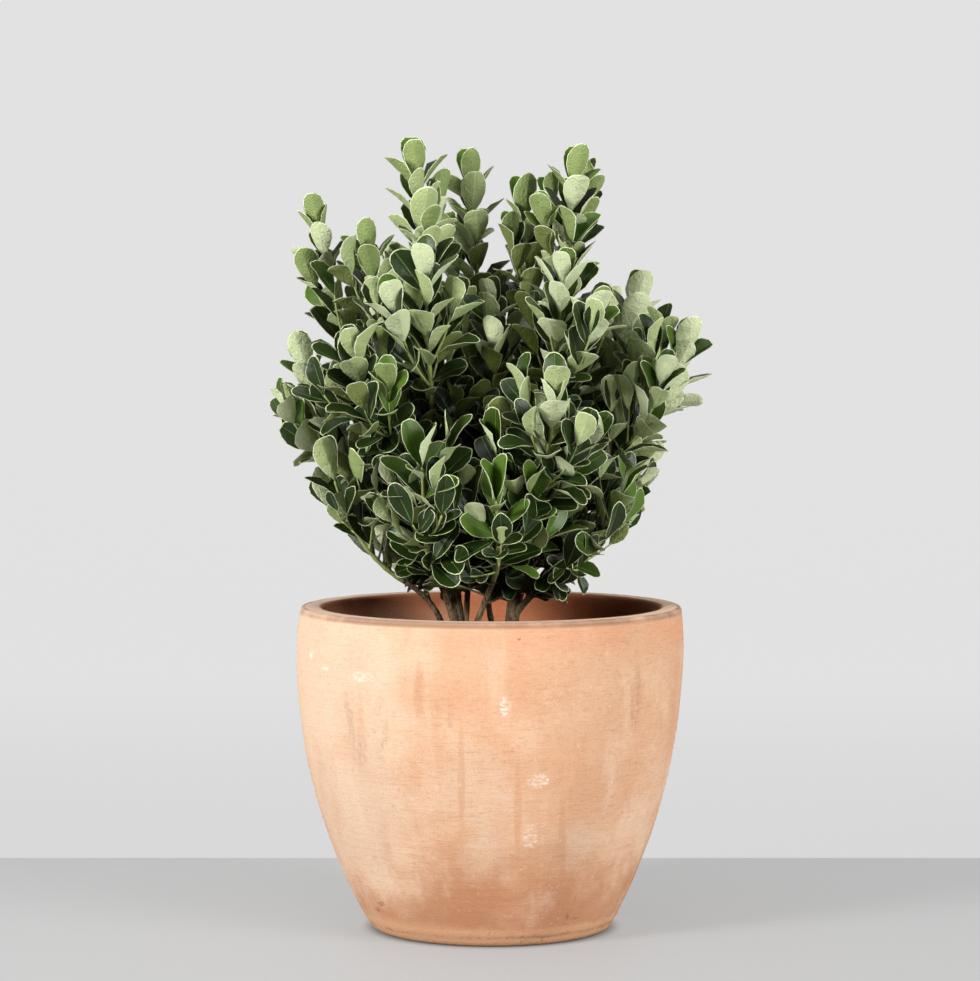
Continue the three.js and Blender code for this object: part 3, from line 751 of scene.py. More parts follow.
class Limb:
    """A curve measured by its length, with a turn of its two spokes about its run, and the share of
    its parent where it leaves."""

    def __init__(self, control, around=0.0, parent=None, leaves=0.0):
        self.control = [np.asarray(point, float) for point in control]
        self.around = around
        self.parent = parent
        self.leaves = leaves
        self.shares = np.linspace(0, 1, LIMB_STEPS)
        line = bezier(self.control, self.shares)
        steps = np.linalg.norm(np.diff(line, axis=0), axis=1)
        self.run = np.concatenate([[0], np.cumsum(steps)])
        self.length = float(self.run[-1])
        self.across = unit(np.cross(UP, line[-1] - line[0]))

    def frame(self, share, around=None):
        """Places, runs, spokes and crosses at shares of the length."""
        t = np.interp(np.atleast_1d(share) * self.length, self.run, self.shares)
        place = bezier(self.control, t)
        slopes = [b - a for a, b in zip(self.control, self.control[1:])]
        along = unit(bezier(slopes, t) + 0 * place)
        level = unit(self.across - along * (along @ self.across)[:, None])
        turn = self.around if around is None else around
        spoke = level * math.cos(turn) + np.cross(along, level) * math.sin(turn)
        return place, along, spoke, np.cross(along, spoke)


def tube(limb, radius, sides, shares):
    """A tube: a ring of `sides` points at each share of a limb, with a radius for each ring, or for
    each point of the grid."""
    place, _, spoke, cross = limb.frame(shares)
    angle = np.arange(sides) * 2 * np.pi / sides
    ring = spoke[:, None] * np.cos(angle)[:, None] + cross[:, None] * np.sin(angle)[:, None]
    return place[:, None] + ring * np.broadcast_to(radius, (len(place), sides))[..., None]


def capped(grid):
    """A tube's grid with a ring more at each end, drawn together to a point, so that it is closed."""
    first, last = (grid[[end]].mean(1, keepdims=True) for end in (0, -1))
    sides = grid.shape[1]
    return np.concatenate([np.repeat(first, sides, 1), grid, np.repeat(last, sides, 1)])


# %% [markdown]
# ## Stems
# Seven stems of one clump come out of the soil, the two thickest ones nearly upright. Their bark is
# dull brown with fine ridges along the stem and pale specks. The ridges are real relief here: noise
# that is stretched along the stem moves the points of the tube in and out.

# %% Bark
RIDGE_STRETCH = np.array([1, 1, 0.22])
RIDGE_SIZE, GRAIN_SIZE = 2.6, 1.7
RIDGE_SHARE, GRAIN_SHARE = 0.7, 0.3
RIDGE_SEED, GRAIN_SEED = 40, 80


def barked_tube(limb, radius, sides, shares, seed, depth):
    """A tube with bark: its radius is changed at each point by ridges stretched along it, and fine
    grain."""
    plain = tube(limb, radius[:, None], sides, shares)
    ridges = ripple(plain * RIDGE_STRETCH, RIDGE_SIZE, RIDGE_SEED + seed)
    grain = ripple(plain, GRAIN_SIZE, GRAIN_SEED + seed)
    relief = depth * (RIDGE_SHARE * ridges + GRAIN_SHARE * grain)
    return tube(limb, radius[:, None] + relief, sides, shares)


def bark_finish(name, dark, light, pale):
    """Bark: two tones by stretched noise, with pale specks, and a fine relief."""
    bark = Finish(name, srgb(*dark), 0.8, 0.3)
    place = bark.place()
    ridge = bark.noise(place, (700.0, 700.0, 90.0), 4.0)
    patch = bark.noise(place, 60.0, 3.0)
    fleck = bark.noise(place, (420.0, 420.0, 260.0), 2.0).step(0.64, 0.72)
    tone = (ridge * 0.6 + patch * 0.4).step(0.38, 0.62)
    color = bark.mix(tone, srgb(*dark), srgb(*light))
    bark.set("Base Color", bark.mix(fleck * 0.65, color, srgb(*pale)))
    bark.set("Roughness", 0.68 + ridge * 0.25)
    bark.bump(ridge * 0.8 + fleck * 0.2, 0.0018)
    return bark.material


# %% Stem shapes
STEMS = {
    "trunk_left": ([(-26, 5), (-38, 5, 340), (-52, 0, 440)], (6.6, 3.4)),
    "trunk_right": ([(17, -2), (20, -2, 330), (46, 2, 430)], (6.9, 3.4)),
    "stem_front_left": ([(-24, -15), (-40, -20, 305), (-50, -52, 328)], (3.4, 2.5)),
    "stem_low_left": ([(-38, -6), (-42, -12, 296), (-78, -28, 318)], (2.8, 2.5)),
    "stem_centre": ([(-24, 24), (-22, 26, 330), (-12, 48, 430)], (2.7, 2.5)),
    "stem_cross": ([(-26, -29), (-6, -34, 300), (2, -60, 322)], (3.1, 2.5)),
    "stem_back": ([(6, 26), (-6, 34, 300), (-8, 66, 345)], (2.8, 2.5)),
}
STEM_GAP = 0.3
STEM_FLARE, FLARE_HEIGHT = 0.5, 9.0
STEM_SIDES, STEM_RINGS = 22, 90
RING_CROWDING = 1.25
STEM_RELIEF = 0.055
STEM_SUNK = 6


def stem_tube(limb, foot, tip, seed):
    """A stem: its radius goes evenly from foot to tip, with a root flare that dies away with height
    and bark in relief. Its foot reaches into the soil."""
    shares = np.linspace(0, 1, STEM_RINGS) ** RING_CROWDING
    flare = STEM_FLARE * foot * np.exp(-shares * limb.length / FLARE_HEIGHT)
    radius = foot + (tip - foot) * shares + flare
    grid = barked_tube(limb, radius, STEM_SIDES, shares, seed, STEM_RELIEF * (foot + tip))
    grid[0, :, 2] -= STEM_SUNK
    return capped(grid)


stem_limbs = {
    stem: Limb([(*foot, SOIL_TOP - STEM_GAP), bend, tip])
    for stem, ((foot, bend, tip), _) in STEMS.items()
}
stem_rows = enumerate(STEMS.items())
stem_grids = [stem_tube(stem_limbs[stem], *radii, seed) for seed, (stem, (_, radii)) in stem_rows]
print("stems:", {stem: round(limb.length) for stem, limb in stem_limbs.items()}, "mm long")
BARK = bark_finish("bark", (50, 37, 26), (122, 99, 72), (176, 156, 124))
put_piece("stems", joined(stem_grids), [BARK], list(STEMS))

# %% [markdown]
# ## The masses and their boughs
# The crown is made of masses, each with an axis that a bough or a stem's tip carries. A branch leaves
# its stem at a slant and bends up to the mass's tip. The bare part of the branch is the bough, and the
# rest is the axis that carries shoots. The places are those of the CAD model.

# %% Masses
# Each mass has its stem, the shares of the stem where its branch leaves and of the branch that is
# bare, the tip of its axis, and its spread with the number and length of its main shoots.
MASSES = {
    "spire_left": ("trunk_left", (0.5, 0.45), (-157, 16, 636), (40, 4, 80)),
    "spire_tall": ("trunk_left", (1, 0), (-68, 6, 682), (48, 4, 80)),
    "spire_back": ("stem_centre", (1, 0), (-19, 60, 676), (50, 4, 80)),
    "spire_inner": ("trunk_right", (0.9, 0.4), (30, 34, 646), (45, 4, 80)),
    "spire_right": ("trunk_right", (1, 0), (74, 0, 676), (42, 4, 90)),
    "upper_left": ("trunk_left", (0.58, 0.45), (-110, -14, 612), (45, 4, 80)),
    "centre": ("trunk_right", (0.26, 0.42), (0, -46, 560), (50, 4, 80)),
    "column_left": ("trunk_left", (0.84, 0.42), (-58, -92, 588), (55, 4, 80)),
    "column_right": ("trunk_right", (0.83, 0.42), (62, -92, 584), (55, 4, 80)),
    "front_left": ("trunk_left", (0.66, 0.42), (-120, -98, 520), (60, 4, 85)),
    "front_centre": ("trunk_right", (0.36, 0.36), (54, -150, 484), (60, 4, 80)),
    "front_low_left": ("stem_front_left", (1, 0), (-60, -146, 428), (60, 5, 70)),
    "front_low": ("stem_cross", (1, 0), (4, -136, 398), (55, 5, 65)),
    "side_left": ("trunk_left", (0.37, 0.36), (-166, -18, 508), (60, 4, 85)),
    "low_left": ("stem_low_left", (1, 0), (-140, -60, 412), (55, 5, 65)),
    "side_right": ("trunk_right", (0.5, 0.42), (170, -22, 522), (50, 4, 85)),
    "shoulder_right": ("trunk_right", (0.64, 0.42), (130, 38, 560), (50, 4, 80)),
    "middle_right": ("trunk_right", (0.44, 0.36), (138, 46, 442), (55, 5, 75)),
    "low_right": ("trunk_right", (0.21, 0.26), (116, -62, 398), (55, 5, 65)),
    "back_left": ("trunk_left", (0.74, 0.42), (-106, 112, 566), (60, 4, 85)),
    "back_centre": ("stem_back", (1, 0), (2, 146, 520), (60, 5, 85)),
    "back_right": ("trunk_right", (0.74, 0.42), (104, 116, 552), (60, 4, 85)),
    "back_low_left": ("trunk_left", (0.28, 0.3), (-90, 108, 404), (60, 5, 65)),
    "back_low_right": ("trunk_right", (0.34, 0.3), (58, 120, 396), (60, 5, 65)),
}
print(len(MASSES), "masses on", len({row[0] for row in MASSES.values()}), "stems")

# %% Branch curves
BRANCH_SLANT = 0.5
BRANCH_LEAN = 1.1
BRANCH_BEND = 0.35


def branch_control(stem, leaves, tip):
    """A branch's four control points: out of its stem at a slant, then bending up to its tip."""
    parent = stem_limbs[stem]
    start = bezier(parent.control, leaves)[0]
    tip = np.asarray(tip, float)
    reach = np.linalg.norm(tip - start)
    away = unit((tip - start) * (1, 1, 0))
    rise = (tip[2] - start[2]) / reach
    grows_on = leaves == 1
    first = parent.frame(1.0)[1][0] if grows_on else unit(away + UP * (BRANCH_SLANT + rise))
    last = unit(UP + away * (BRANCH_LEAN - rise))
    return [start, start + first * BRANCH_BEND * reach, tip - last * BRANCH_BEND * reach, tip]


def split(control, share):
    """A curve's control points cut in two at a share: the first and the last of every blend."""
    before, after, layer = [], [], list(control)
    while layer:
        before.append(layer[0])
        after.insert(0, layer[-1])
        layer = [a + (b - a) * share for a, b in zip(layer, layer[1:])]
    return before, after


bough_limbs, axis_controls = {}, {}
for mass, (stem, (leaves, bare), tip, _) in MASSES.items():
    whole = branch_control(stem, leaves, tip)
    if leaves < 1:
        bough, whole = split(whole, bare)
        bough_limbs[mass] = Limb(bough)
    axis_controls[mass] = whole
print(len(bough_limbs), "boughs,", len(axis_controls), "axes")

# %% Bough shapes
BOUGH_RADII = (3.3, 2.5)
COLLAR, COLLAR_RUN = 0.45, 7.0
BOUGH_SIDES, BOUGH_RINGS = 14, 40
BOUGH_RELIEF = 0.22
BOUGH_SEED = 20


def bough_tube(limb, seed):
    """A bough: its radius goes evenly to its tip, with a collar that dies away from where it leaves its
    stem, and young bark in low relief."""
    foot, tip = BOUGH_RADII
    shares = np.linspace(0, 1, BOUGH_RINGS)
    collar = COLLAR * foot * np.exp(-shares * limb.length / COLLAR_RUN)
    radius = foot + (tip - foot) * shares + collar
    return capped(barked_tube(limb, radius, BOUGH_SIDES, shares, seed, BOUGH_RELIEF))


bough_rows = enumerate(bough_limbs.values(), BOUGH_SEED)
bough_grids = [bough_tube(limb, seed) for seed, limb in bough_rows]
YOUNG_BARK = bark_finish("young_bark", (84, 70, 48), (128, 116, 78), (168, 158, 118))
bough_names = ["bough_" + mass for mass in bough_limbs]
put_piece("boughs", joined(bough_grids), [YOUNG_BARK], bough_names)

# %% [markdown]
# ## Growing the shoots
# Each mass grows by one rule. Side shoots leave its axis one golden turn apart, slant out and bend up.
# Finer twigs leave the shoots in the same way. The random numbers come from a stream whose seed is
# the mass's place in the list, as in the CAD source, so its first draws set the same main shoots.

# %% Random stream and crown space
WORD = 0xFFFFFFFF
AXIS_SAMPLES = 14
CROWN_FLOOR = POT_HEIGHT + 4
CROWN_WIDEST = 528.0
CROWN_NECK = 90.0
CROWN_REACH = 204.0
CROWN_POWER = 1.05
CROWN_DRAW = 0.15
CROWN_SHIFT = -9.0
CROWN_FRONT = -5.0
CROWN_CLEAR = 3.0
CROWN_SLOPE = 0.16
CROWN_TILT, CROWN_DROP = 0.3, 6.0
INSIDE_SHARE = 0.86
INSIDE_HEIGHT = 590.0
SPACE_MARGIN = -7.0
SPACE_EXTRA = 6.0


def random_stream(seed):
    """Repeatable numbers from 0 to 1: a counter whose bits are mixed by multiplying and shifting."""
    state = seed & WORD
    while True:
        state = (state + 0x6D2B79F5) & WORD
        mixed = (state ^ state >> 15) * (1 | state) & WORD
        mixed ^= (mixed + ((mixed ^ mixed >> 7) * (61 | mixed) & WORD)) & WORD
        yield (mixed ^ mixed >> 14) / 2**32


def crown_share(places):
    """The distance from the crown's middle line as a share of its reach there: a sine swell from the
    rim to its widest, drawn in a little above. The middle line lies a little to the front and, low
    down, to the left."""
    rise = np.clip((places[:, 2] - CROWN_FLOOR) / (CROWN_WIDEST - CROWN_FLOOR), 0, 1)
    swell = CROWN_NECK + (CROWN_REACH - CROWN_NECK) * np.sin(np.pi / 2 * rise**CROWN_POWER)
    reach = swell - CROWN_DRAW * np.clip(places[:, 2] - CROWN_WIDEST, 0, None)
    middle = CROWN_SHIFT * np.sin(np.pi * rise)
    return np.hypot(places[:, 0] - middle, places[:, 1] - CROWN_FRONT) / reach


def in_crown(places, share=1.0, top=np.inf):
    """Whether places lie within a share of the crown's reach, under a height, and above the pot's
    rim: the lowest leaves hang a little higher towards the front, and a little lower to the right."""
    x, y, z = places.T
    low = CROWN_FLOOR + CROWN_CLEAR - CROWN_SLOPE * np.minimum(y, 0)
    low = low - np.clip(CROWN_TILT * x, 0, CROWN_DROP)
    return (z > low) & (z < top) & (crown_share(places) < share)


axis_limbs = {mass: Limb(control) for mass, control in axis_controls.items()}
axis_steps = np.linspace(0, 1, AXIS_SAMPLES + 1)
axis_lines = np.stack([limb.frame(axis_steps)[0] for limb in axis_limbs.values()])
spreads = np.array([row[3][0] for row in MASSES.values()], float)


def axis_distances(places):
    """The distance of each place from each mass's axis: the nearest point of its short straights."""
    start, step = axis_lines[:, :-1], np.diff(axis_lines, axis=1)
    offset = places[:, None, None] - start
    share = np.clip((offset * step).sum(-1) / (step * step).sum(-1), 0, 1)
    return np.linalg.norm(offset - share[..., None] * step, axis=-1).min(-1)


def in_space(places, index):
    """Whether places lie in the crown, within a mass's spread, and hardly nearer to another axis.
    Twigs that belong to no mass only stay well inside the crown."""
    if index is None:
        return in_crown(places, INSIDE_SHARE, INSIDE_HEIGHT)
    distance = axis_distances(places)
    own = distance[:, index]
    others = np.delete(distance, index, axis=1).min(1)
    return in_crown(places) & (own < spreads[index] + SPACE_EXTRA) & (others > own + SPACE_MARGIN)


# %% Shoots
# Two values in a bracket are for low in the crown and for high up.
GOLDEN_TURN = math.radians(137.5)
SHOOTS_FROM, SHOOTS_TO = 0.12, 0.8
SHOOT_SHIFT = 0.5
SHOOT_VARY = 0.2
SHOOT_LEANS = (46.0, 34.0)
SHOOT_RISES = (1.0, 1.8)
SHOOT_TRIES = (1, 0.8, 0.6, 0.45)
FOOT_HEIGHT, FOOT_FADE = 345.0, 25.0
FOOT_LEAN, FOOT_FLAT = 36.0, 0.95
AXIS_TURNS = (math.pi, math.pi / 3)
PAIR_TURNS = (math.pi, 0.62 * math.pi)
TURNED_HEIGHT, ERECT_HEIGHT = 360.0, 490.0
TIP_LEAD = 24.0
OWN_LEADS = {"spire_right": 4.0, "upper_left": 14.0, "spire_left": 50.0}
FINE_TOP = 570.0
FINE_TOPS = {"spire_right": 672.0, "spire_back": 640.0, "spire_inner": 640.0, "spire_tall": 640.0}
FINE_LENGTH = 0.85
FINE_SHOOTS, FINE_ON_AXIS = 3, 8


def by_height(z, low, high):
    """One value low in the crown, where leaves turn to the light, going over to another high up,
    where they stand erect."""
    share = np.clip((z - TURNED_HEIGHT) / (ERECT_HEIGHT - TURNED_HEIGHT), 0, 1)
    return low + (high - low) * share


def side_shoot(parent, share, lean, length, turn, index, top):
    """A shoot that leaves its parent at a slant and bends up, shortened until it stays in its space
    and under a height. Near the foot of the stems shoots lean far out and hardly bend up."""
    place, along, spoke, _ = (row[0] for row in parent.frame(share, lean))
    foot = min(max((FOOT_HEIGHT - place[2]) / FOOT_FADE, 0), 1)
    slant = math.radians(by_height(place[2], *SHOOT_LEANS) + FOOT_LEAN * foot)
    first = along * math.cos(slant) + spoke * math.sin(slant)
    last = unit(first + UP * by_height(place[2], *SHOOT_RISES) * (1 - FOOT_FLAT * foot))
    around = (turn - 0.5) * by_height(place[2], *PAIR_TURNS)
    for size in SHOOT_TRIES:
        half = length * size / 2
        bend = place + first * half
        tip = bend + last * half
        if tip[2] < top and in_space(np.stack([bend, tip]), index).all():
            return Limb([place, bend, tip], around, parent, share)
    return None


def side_shoots(parent, count, length, stream, index, top):
    """Shoots along a parent, a golden turn apart from a random start, each with its own shift, length
    and turn of its leaves."""
    start = next(stream) * 2 * math.pi
    shoots = []
    for i in range(count):
        share = SHOOTS_FROM + (SHOOTS_TO - SHOOTS_FROM) * (i + next(stream) * SHOOT_SHIFT) / count
        run = length * (1 - SHOOT_VARY + 2 * SHOOT_VARY * next(stream))
        turn = next(stream)
        shoots.append(side_shoot(parent, share, start + i * GOLDEN_TURN, run, turn, index, top))
    return [shoot for shoot in shoots if shoot]


shoot_tops = [row[2][2] - OWN_LEADS.get(mass, TIP_LEAD) for mass, row in MASSES.items()]


def mass_shoots(index, mass, count, length):
    """A mass's axis, its main shoots, and the finer twigs of both, with the order of each."""
    stream = random_stream(index + 1)
    control = axis_controls[mass]
    axis = Limb(control, (next(stream) - 0.5) * by_height(control[-1][2], *AXIS_TURNS))
    main = side_shoots(axis, count, length, stream, index, shoot_tops[index])
    top, run = min(shoot_tops[index], FINE_TOPS.get(mass, FINE_TOP)), length * FINE_LENGTH
    fine = side_shoots(axis, FINE_ON_AXIS, run, stream, index, top)
    for parent in main:
        fine += side_shoots(parent, FINE_SHOOTS, run, stream, index, top)
    return [(axis, 0)] + [(shoot, 1) for shoot in main] + [(shoot, 2) for shoot in fine]


# %% Sprays
# A leafy stem lends its twigs to a mass, is bare up to a share of its run, and has a number of twigs.
INNER_LENGTH = 58.0
BOUGH_TWIGS, FILL_TWIGS = 6, 14
LEAFY_STEMS = {
    "trunk_left": ("spire_tall", 0.24, 11),
    "trunk_right": ("centre", 0.04, 17),
    "stem_centre": ("spire_back", 0.22, 10),
    "stem_front_left": ("front_low_left", 0.3, 5),
    "stem_low_left": ("low_left", 0.26, 7),
    "stem_cross": ("front_low", 0.4, 4),
    "stem_back": ("back_centre", 0.3, 6),
}
BOUGH_STREAM, STEM_STREAM, FILL_STREAM = 101, 201, 301


def inner_twigs(mass, limb, count, seed):
    """Sprays on a limb inside the crown: short twigs that may grow anywhere well within its reach."""
    twigs = side_shoots(limb, count, INNER_LENGTH, random_stream(seed), None, INSIDE_HEIGHT)
    return [(mass, None, twig, 2) for twig in twigs]


sprays = []
for index, (mass, (_, _, _, (_, count, length))) in enumerate(MASSES.items()):
    sprays += [(mass, index, *row) for row in mass_shoots(index, mass, count, length)]
sprays.sort(key=lambda row: row[3])
for seed, (mass, limb) in enumerate(bough_limbs.items(), BOUGH_STREAM):
    sprays += inner_twigs(mass, limb, BOUGH_TWIGS, seed)
for seed, (stem, (mass, bare, count)) in enumerate(LEAFY_STEMS.items(), STEM_STREAM):
    leafy = Limb(split(stem_limbs[stem].control, bare)[1])
    sprays += inner_twigs(mass, leafy, count, seed)
for seed, (mass, limb) in enumerate(axis_limbs.items(), FILL_STREAM):
    sprays += inner_twigs(mass, limb, FILL_TWIGS, seed)
print(len(sprays), "shoots:", [sum(order == kind for *_, order in sprays) for kind in range(3)])

# %% [markdown]
# ## Placing the leaves
# The leaves stand in pairs, each pair a quarter turn on from the last. Near the tip they are small and
# stand close to the shoot, further down they are full-sized and open out. High in the crown they stay
# erect and show their pale backs. Low down they turn their faces to the light. A leaf that finds no
# room, or would rise above the tip of its mass's axis, is tried smaller or at another angle, and left
# out if nothing fits. A twig that would keep less than half of its leaves isn't grown.

# %% Leaf frames
LEAF_SEED = 77
LEAF_LENGTH = 45.0
LEAF_WIDTH = 0.54
FRONT = np.array([0.0, -1.0, 0.0])
LIGHT_TURNS = (1.3, 0.0)
LIGHT_RISE = 0.8
FACING_HEIGHT = 450.0
NODE_STEPS = (23.0, 14.0)
NODE_SWAY = 0.06
TIP_INSET, TIP_DRAW = 1.0, 0.3
BARE_SHARES = (0.03, 0.1, 0.08)
PAIR_SAMPLES = 60


def leaf_frames(place, along, spoke, angles, roll):
    """For each angle, a leaf's run, side and face; low in the crown the face is turned out and up to
    the light, and every leaf is rolled a little about its run."""
    run = along * np.cos(angles)[:, None] + spoke * np.sin(angles)[:, None]
    face = along * np.sin(angles)[:, None] - spoke * np.cos(angles)[:, None]
    light = unit(unit(place * (1, 1, 0)) + UP * LIGHT_RISE)
    light = light - run * (run @ light)[:, None]
    face = unit(face + light * by_height(place[2], *LIGHT_TURNS))
    side = np.cross(face, run)
    cosine, sine = math.cos(roll), math.sin(roll)
    return np.stack([run, side * cosine - face * sine, face * cosine + side * sine], -1)


def pair_frames(limb, shares):
    """Places, runs and both arms of the pairs on a shoot. On a shoot that ends high in the crown, the
    end pair faces the front, give or take the shoot's own turn."""
    places, alongs, spokes, crosses = limb.frame(shares)
    if places[0, 2] > FACING_HEIGHT:
        level = unit(FRONT - alongs * (alongs @ FRONT)[:, None])
        spokes = level * math.cos(limb.around) + np.cross(alongs, level) * math.sin(limb.around)
        crosses = np.cross(alongs, spokes)
    return places, alongs, spokes, crosses


def pair_shares(limb, order, random):
    """Where the pairs of leaves stand on a shoot, from its tip down: close together high in the
    crown, further apart low down."""
    way = np.linspace(1 - TIP_INSET / limb.length, BARE_SHARES[order], PAIR_SAMPLES)
    step = by_height(limb.frame(way)[0][1:, 2], *NODE_STEPS)
    passed = np.append(0, np.cumsum(-np.diff(way) * limb.length / step))
    number = np.arange(int(passed[-1] + TIP_DRAW) + 1.0)
    number[1:] += random.normal(-TIP_DRAW, NODE_SWAY, len(number) - 1)
    return np.interp(number, passed, way)


# %% Leaf places
# A try is a leaf's share of its size, and how many degrees it opens further.
LEAF_TRIES = np.array([
    (1, 0), (1, -12), (1, 10), (0.86, 0), (0.86, -16), (0.86, 14),
    (0.7, -8), (0.7, 12), (0.7, -26), (0.55, 0), (0.55, -18),
])
PAIR_SIZES = np.array([0.92, 0.96, 1.0])
PAIR_ANGLES = np.array([14.0, 40.0, 31.0, 36.0, 38.0, 41.0, 45.0, 49.0])
PAIR_VARY, LEAF_VARY = (0.86, 1.1), (0.92, 1.06)
OPENINGS = (1.4, 0.95)
HEIGHT_SIZES = (1.02, 0.98)
ORDER_SIZES = (1.0, 0.97, 0.92)
LEAST_SIZES = (0.5, 0.8)
SWAY, TIP_SWAY = 8, 2
ROLL = math.radians(16)
LEAF_ROOT = 0.3
LEAF_LEAD = 36.0
LEAF_CLEARS = (6.0, 11.0)
NEAR = 1.3 * LEAF_LENGTH
TEST_ALONG = np.array([0.55, 1.0, 0.62, 0.62])
TEST_ACROSS = np.array([0.0, 0.0, 0.5, -0.5])
CORE_ALONG = np.array([0.4, 0.65, 0.9])


def tried_leaves(place, along, arm, pair, size, random):
    """The tries of one leaf: its root, and a frame, a length and three places of its core for each."""
    opening = PAIR_ANGLES[min(pair, len(PAIR_ANGLES) - 1)] * by_height(place[2], *OPENINGS)
    angles = np.radians(opening + LEAF_TRIES[:, 1] + random.normal(0, SWAY if pair else TIP_SWAY))
    lengths = LEAF_LENGTH * size * LEAF_TRIES[:, 0] * random.uniform(*LEAF_VARY)
    frames = leaf_frames(place, along, arm, angles, random.normal(0, ROLL if pair else 0))
    root = place + arm * LEAF_ROOT
    cores = root + frames[:, None, :, 0] * (lengths[:, None] * CORE_ALONG)[..., None]
    return root, frames, lengths, cores


def fitting(root, frames, lengths, cores, z, index, top, taken):
    """Which tries have room: in the space of their mass, under a height, large enough, and clear of
    the places that other leaves have taken."""
    reach = lengths[:, None, None] * TEST_ALONG[:, None]
    width = lengths[:, None, None] * LEAF_WIDTH * TEST_ACROSS[:, None]
    tests = root + frames[:, None, :, 0] * reach + frames[:, None, :, 1] * width
    fits = in_space(tests.reshape(-1, 3), index).reshape(len(lengths), -1).all(1)
    fits &= (tests[..., 2].max(1) < top) & (LEAF_TRIES[:, 0] > by_height(z, *LEAST_SIZES))
    beside = taken[(np.abs(taken - root) < NEAR).all(1)]
    if len(beside):
        near = np.linalg.norm(cores[:, :, None] - beside, axis=-1).min((1, 2))
        fits &= near > by_height(z, *LEAF_CLEARS)
    return fits


def spray_leaves(limb, order, index, shares, taken, random):
    """The leaves of a spray: pair, root, frame, length and core of each that finds room."""
    places, alongs, spokes, crosses = pair_frames(limb, shares)
    top = shoot_tops[index] + LEAF_LEAD if order and index is not None else np.inf
    leaves = []
    for pair, place in enumerate(places):
        arm = crosses[pair] if pair % 2 else spokes[pair]
        size = PAIR_SIZES[min(pair, 2)] * ORDER_SIZES[order] * by_height(place[2], *HEIGHT_SIZES)
        size *= random.uniform(*PAIR_VARY)
        for side in (arm, -arm):
            root, *tries = tried_leaves(place, alongs[pair], side, pair, size, random)
            fits = fitting(root, *tries, place[2], index, top, taken)
            if fits.any():
                leaves.append((pair, root, *(values[np.argmax(fits)] for values in tries)))
    return leaves


taken = np.zeros((0, 3))
leaf_rows = []
shoot_ends = {limb: 0.0 for _, _, limb, _ in sprays}
leaf_random = np.random.default_rng(LEAF_SEED)
for spray, (_, index, limb, order) in enumerate(sprays):
    shares = pair_shares(limb, order, leaf_random)
    grown = spray_leaves(limb, order, index, shares, taken, leaf_random)
    if grown and (order < 2 or len(grown) >= len(shares)):
        leaf_rows += [(spray, *leaf) for leaf in grown]
        taken = np.concatenate([taken] + [core for *_, core in grown])
        shoot_ends[limb] = shares[min(pair for pair, *_ in grown)]
for limb in reversed(list(shoot_ends)):
    if shoot_ends[limb] and limb.parent in shoot_ends:
        shoot_ends[limb.parent] = max(shoot_ends[limb.parent], limb.leaves)
leaf_spray, leaf_pair, leaf_root, leaf_frame, leaf_length, _ = map(np.array, zip(*leaf_rows))
print(len(leaf_rows), "leaves on", len(np.unique(leaf_spray)), "shoots")

# %% [markdown]
# ## The leaf
# A spindle leaf is a small leathery spoon: narrow at its stalk, widest past the middle and blunt at the
# tip, with a dark blade, a paler midrib and a cream margin. The margin is a strip of faces of its own
# that runs round the tip, so it stays crisp from any distance. The leaf is a closed lens of sixty faces:
# an upper and an under grid that share their outline, each with five strips from edge to edge.

# %% Leaf shape
LEAF_ROWS = np.array([0.0, 0.24, 0.46, 0.66, 0.84, 0.93, 0.972])
TIP_ALONG = np.array([[0.93, 0.948, 0.983], [0.972, 0.992, 1.0]])
TIP_ACROSS = np.array([[0.43, 0.03], [0.195, 0.03]])
OUTLINE_RISE, OUTLINE_ROUND = 1.05, 0.55
MARGIN, MARGIN_MOST = 0.0112, 0.4
RIB, RIB_TAPER, RIB_MOST = 0.011, 1.2, 0.3
LEAF_THICK = 0.014
SWELLS = np.array([0.0, 0.9, 1.0])
STALK_THIN = 3


def outline(share):
    """Half the leaf's width, 1 at its widest, at shares of its length: a power of the share times one
    of the rest."""
    widest = OUTLINE_RISE / (OUTLINE_RISE + OUTLINE_ROUND)
    peak = widest**OUTLINE_RISE * (1 - widest) ** OUTLINE_ROUND
    return share**OUTLINE_RISE * (1 - share) ** OUTLINE_ROUND / peak


def leaf_side(sign):
    """One side of a leaf of length 1 and half width 1, as rows of six points: edge, margin, rib and
    back again. The last two rows bow out to the tip, one inside the margin and one on the outline."""
    share = LEAF_ROWS[:, None]
    half = outline(share)
    inside = np.maximum(half - 2 * MARGIN / LEAF_WIDTH, MARGIN_MOST * half)
    rib = np.minimum(2 * RIB / LEAF_WIDTH * (RIB_TAPER - share), RIB_MOST * half)
    across = np.concatenate([half, inside, rib], 1)
    across[-2:, 1:] = TIP_ACROSS
    along = np.repeat(share, 3, axis=1)
    along[-2:] = TIP_ALONG
    lift = sign * LEAF_THICK / 2 * SWELLS * np.minimum(half * STALK_THIN, 1)
    lift[-1] = 0
    right = np.stack([along, across, lift], -1)
    return np.concatenate([right, right[:, ::-1] * (1, -1, 1)], 1)


def leaf_shape():
    """The closed leaf: points, corners, sizes and, for each face, 0 blade, 1 rib, 2 margin, and 3 more
    on the under side. Both sides' quads start at the same corner, so that they fold along the same
    diagonal."""
    upper, under = leaf_side(1), leaf_side(-1)
    rows, columns = upper.shape[:2]
    quads = grid_faces(rows, columns, wrap=False)
    strip = np.tile([2, 0, 1, 0, 2], (rows - 1, 1))
    strip[-1] = 2
    points = np.concatenate([upper.reshape(-1, 3), under.reshape(-1, 3)])
    faces = np.concatenate([quads[:, [0, 3, 2, 1]], quads + rows * columns])
    kinds = np.concatenate([strip.ravel(), strip.ravel() + 3])
    return *welded(points, faces), kinds


leaf_points, leaf_corners, leaf_sizes, leaf_kinds = leaf_shape()
print("one leaf:", len(leaf_points), "points,", len(leaf_sizes), "faces")

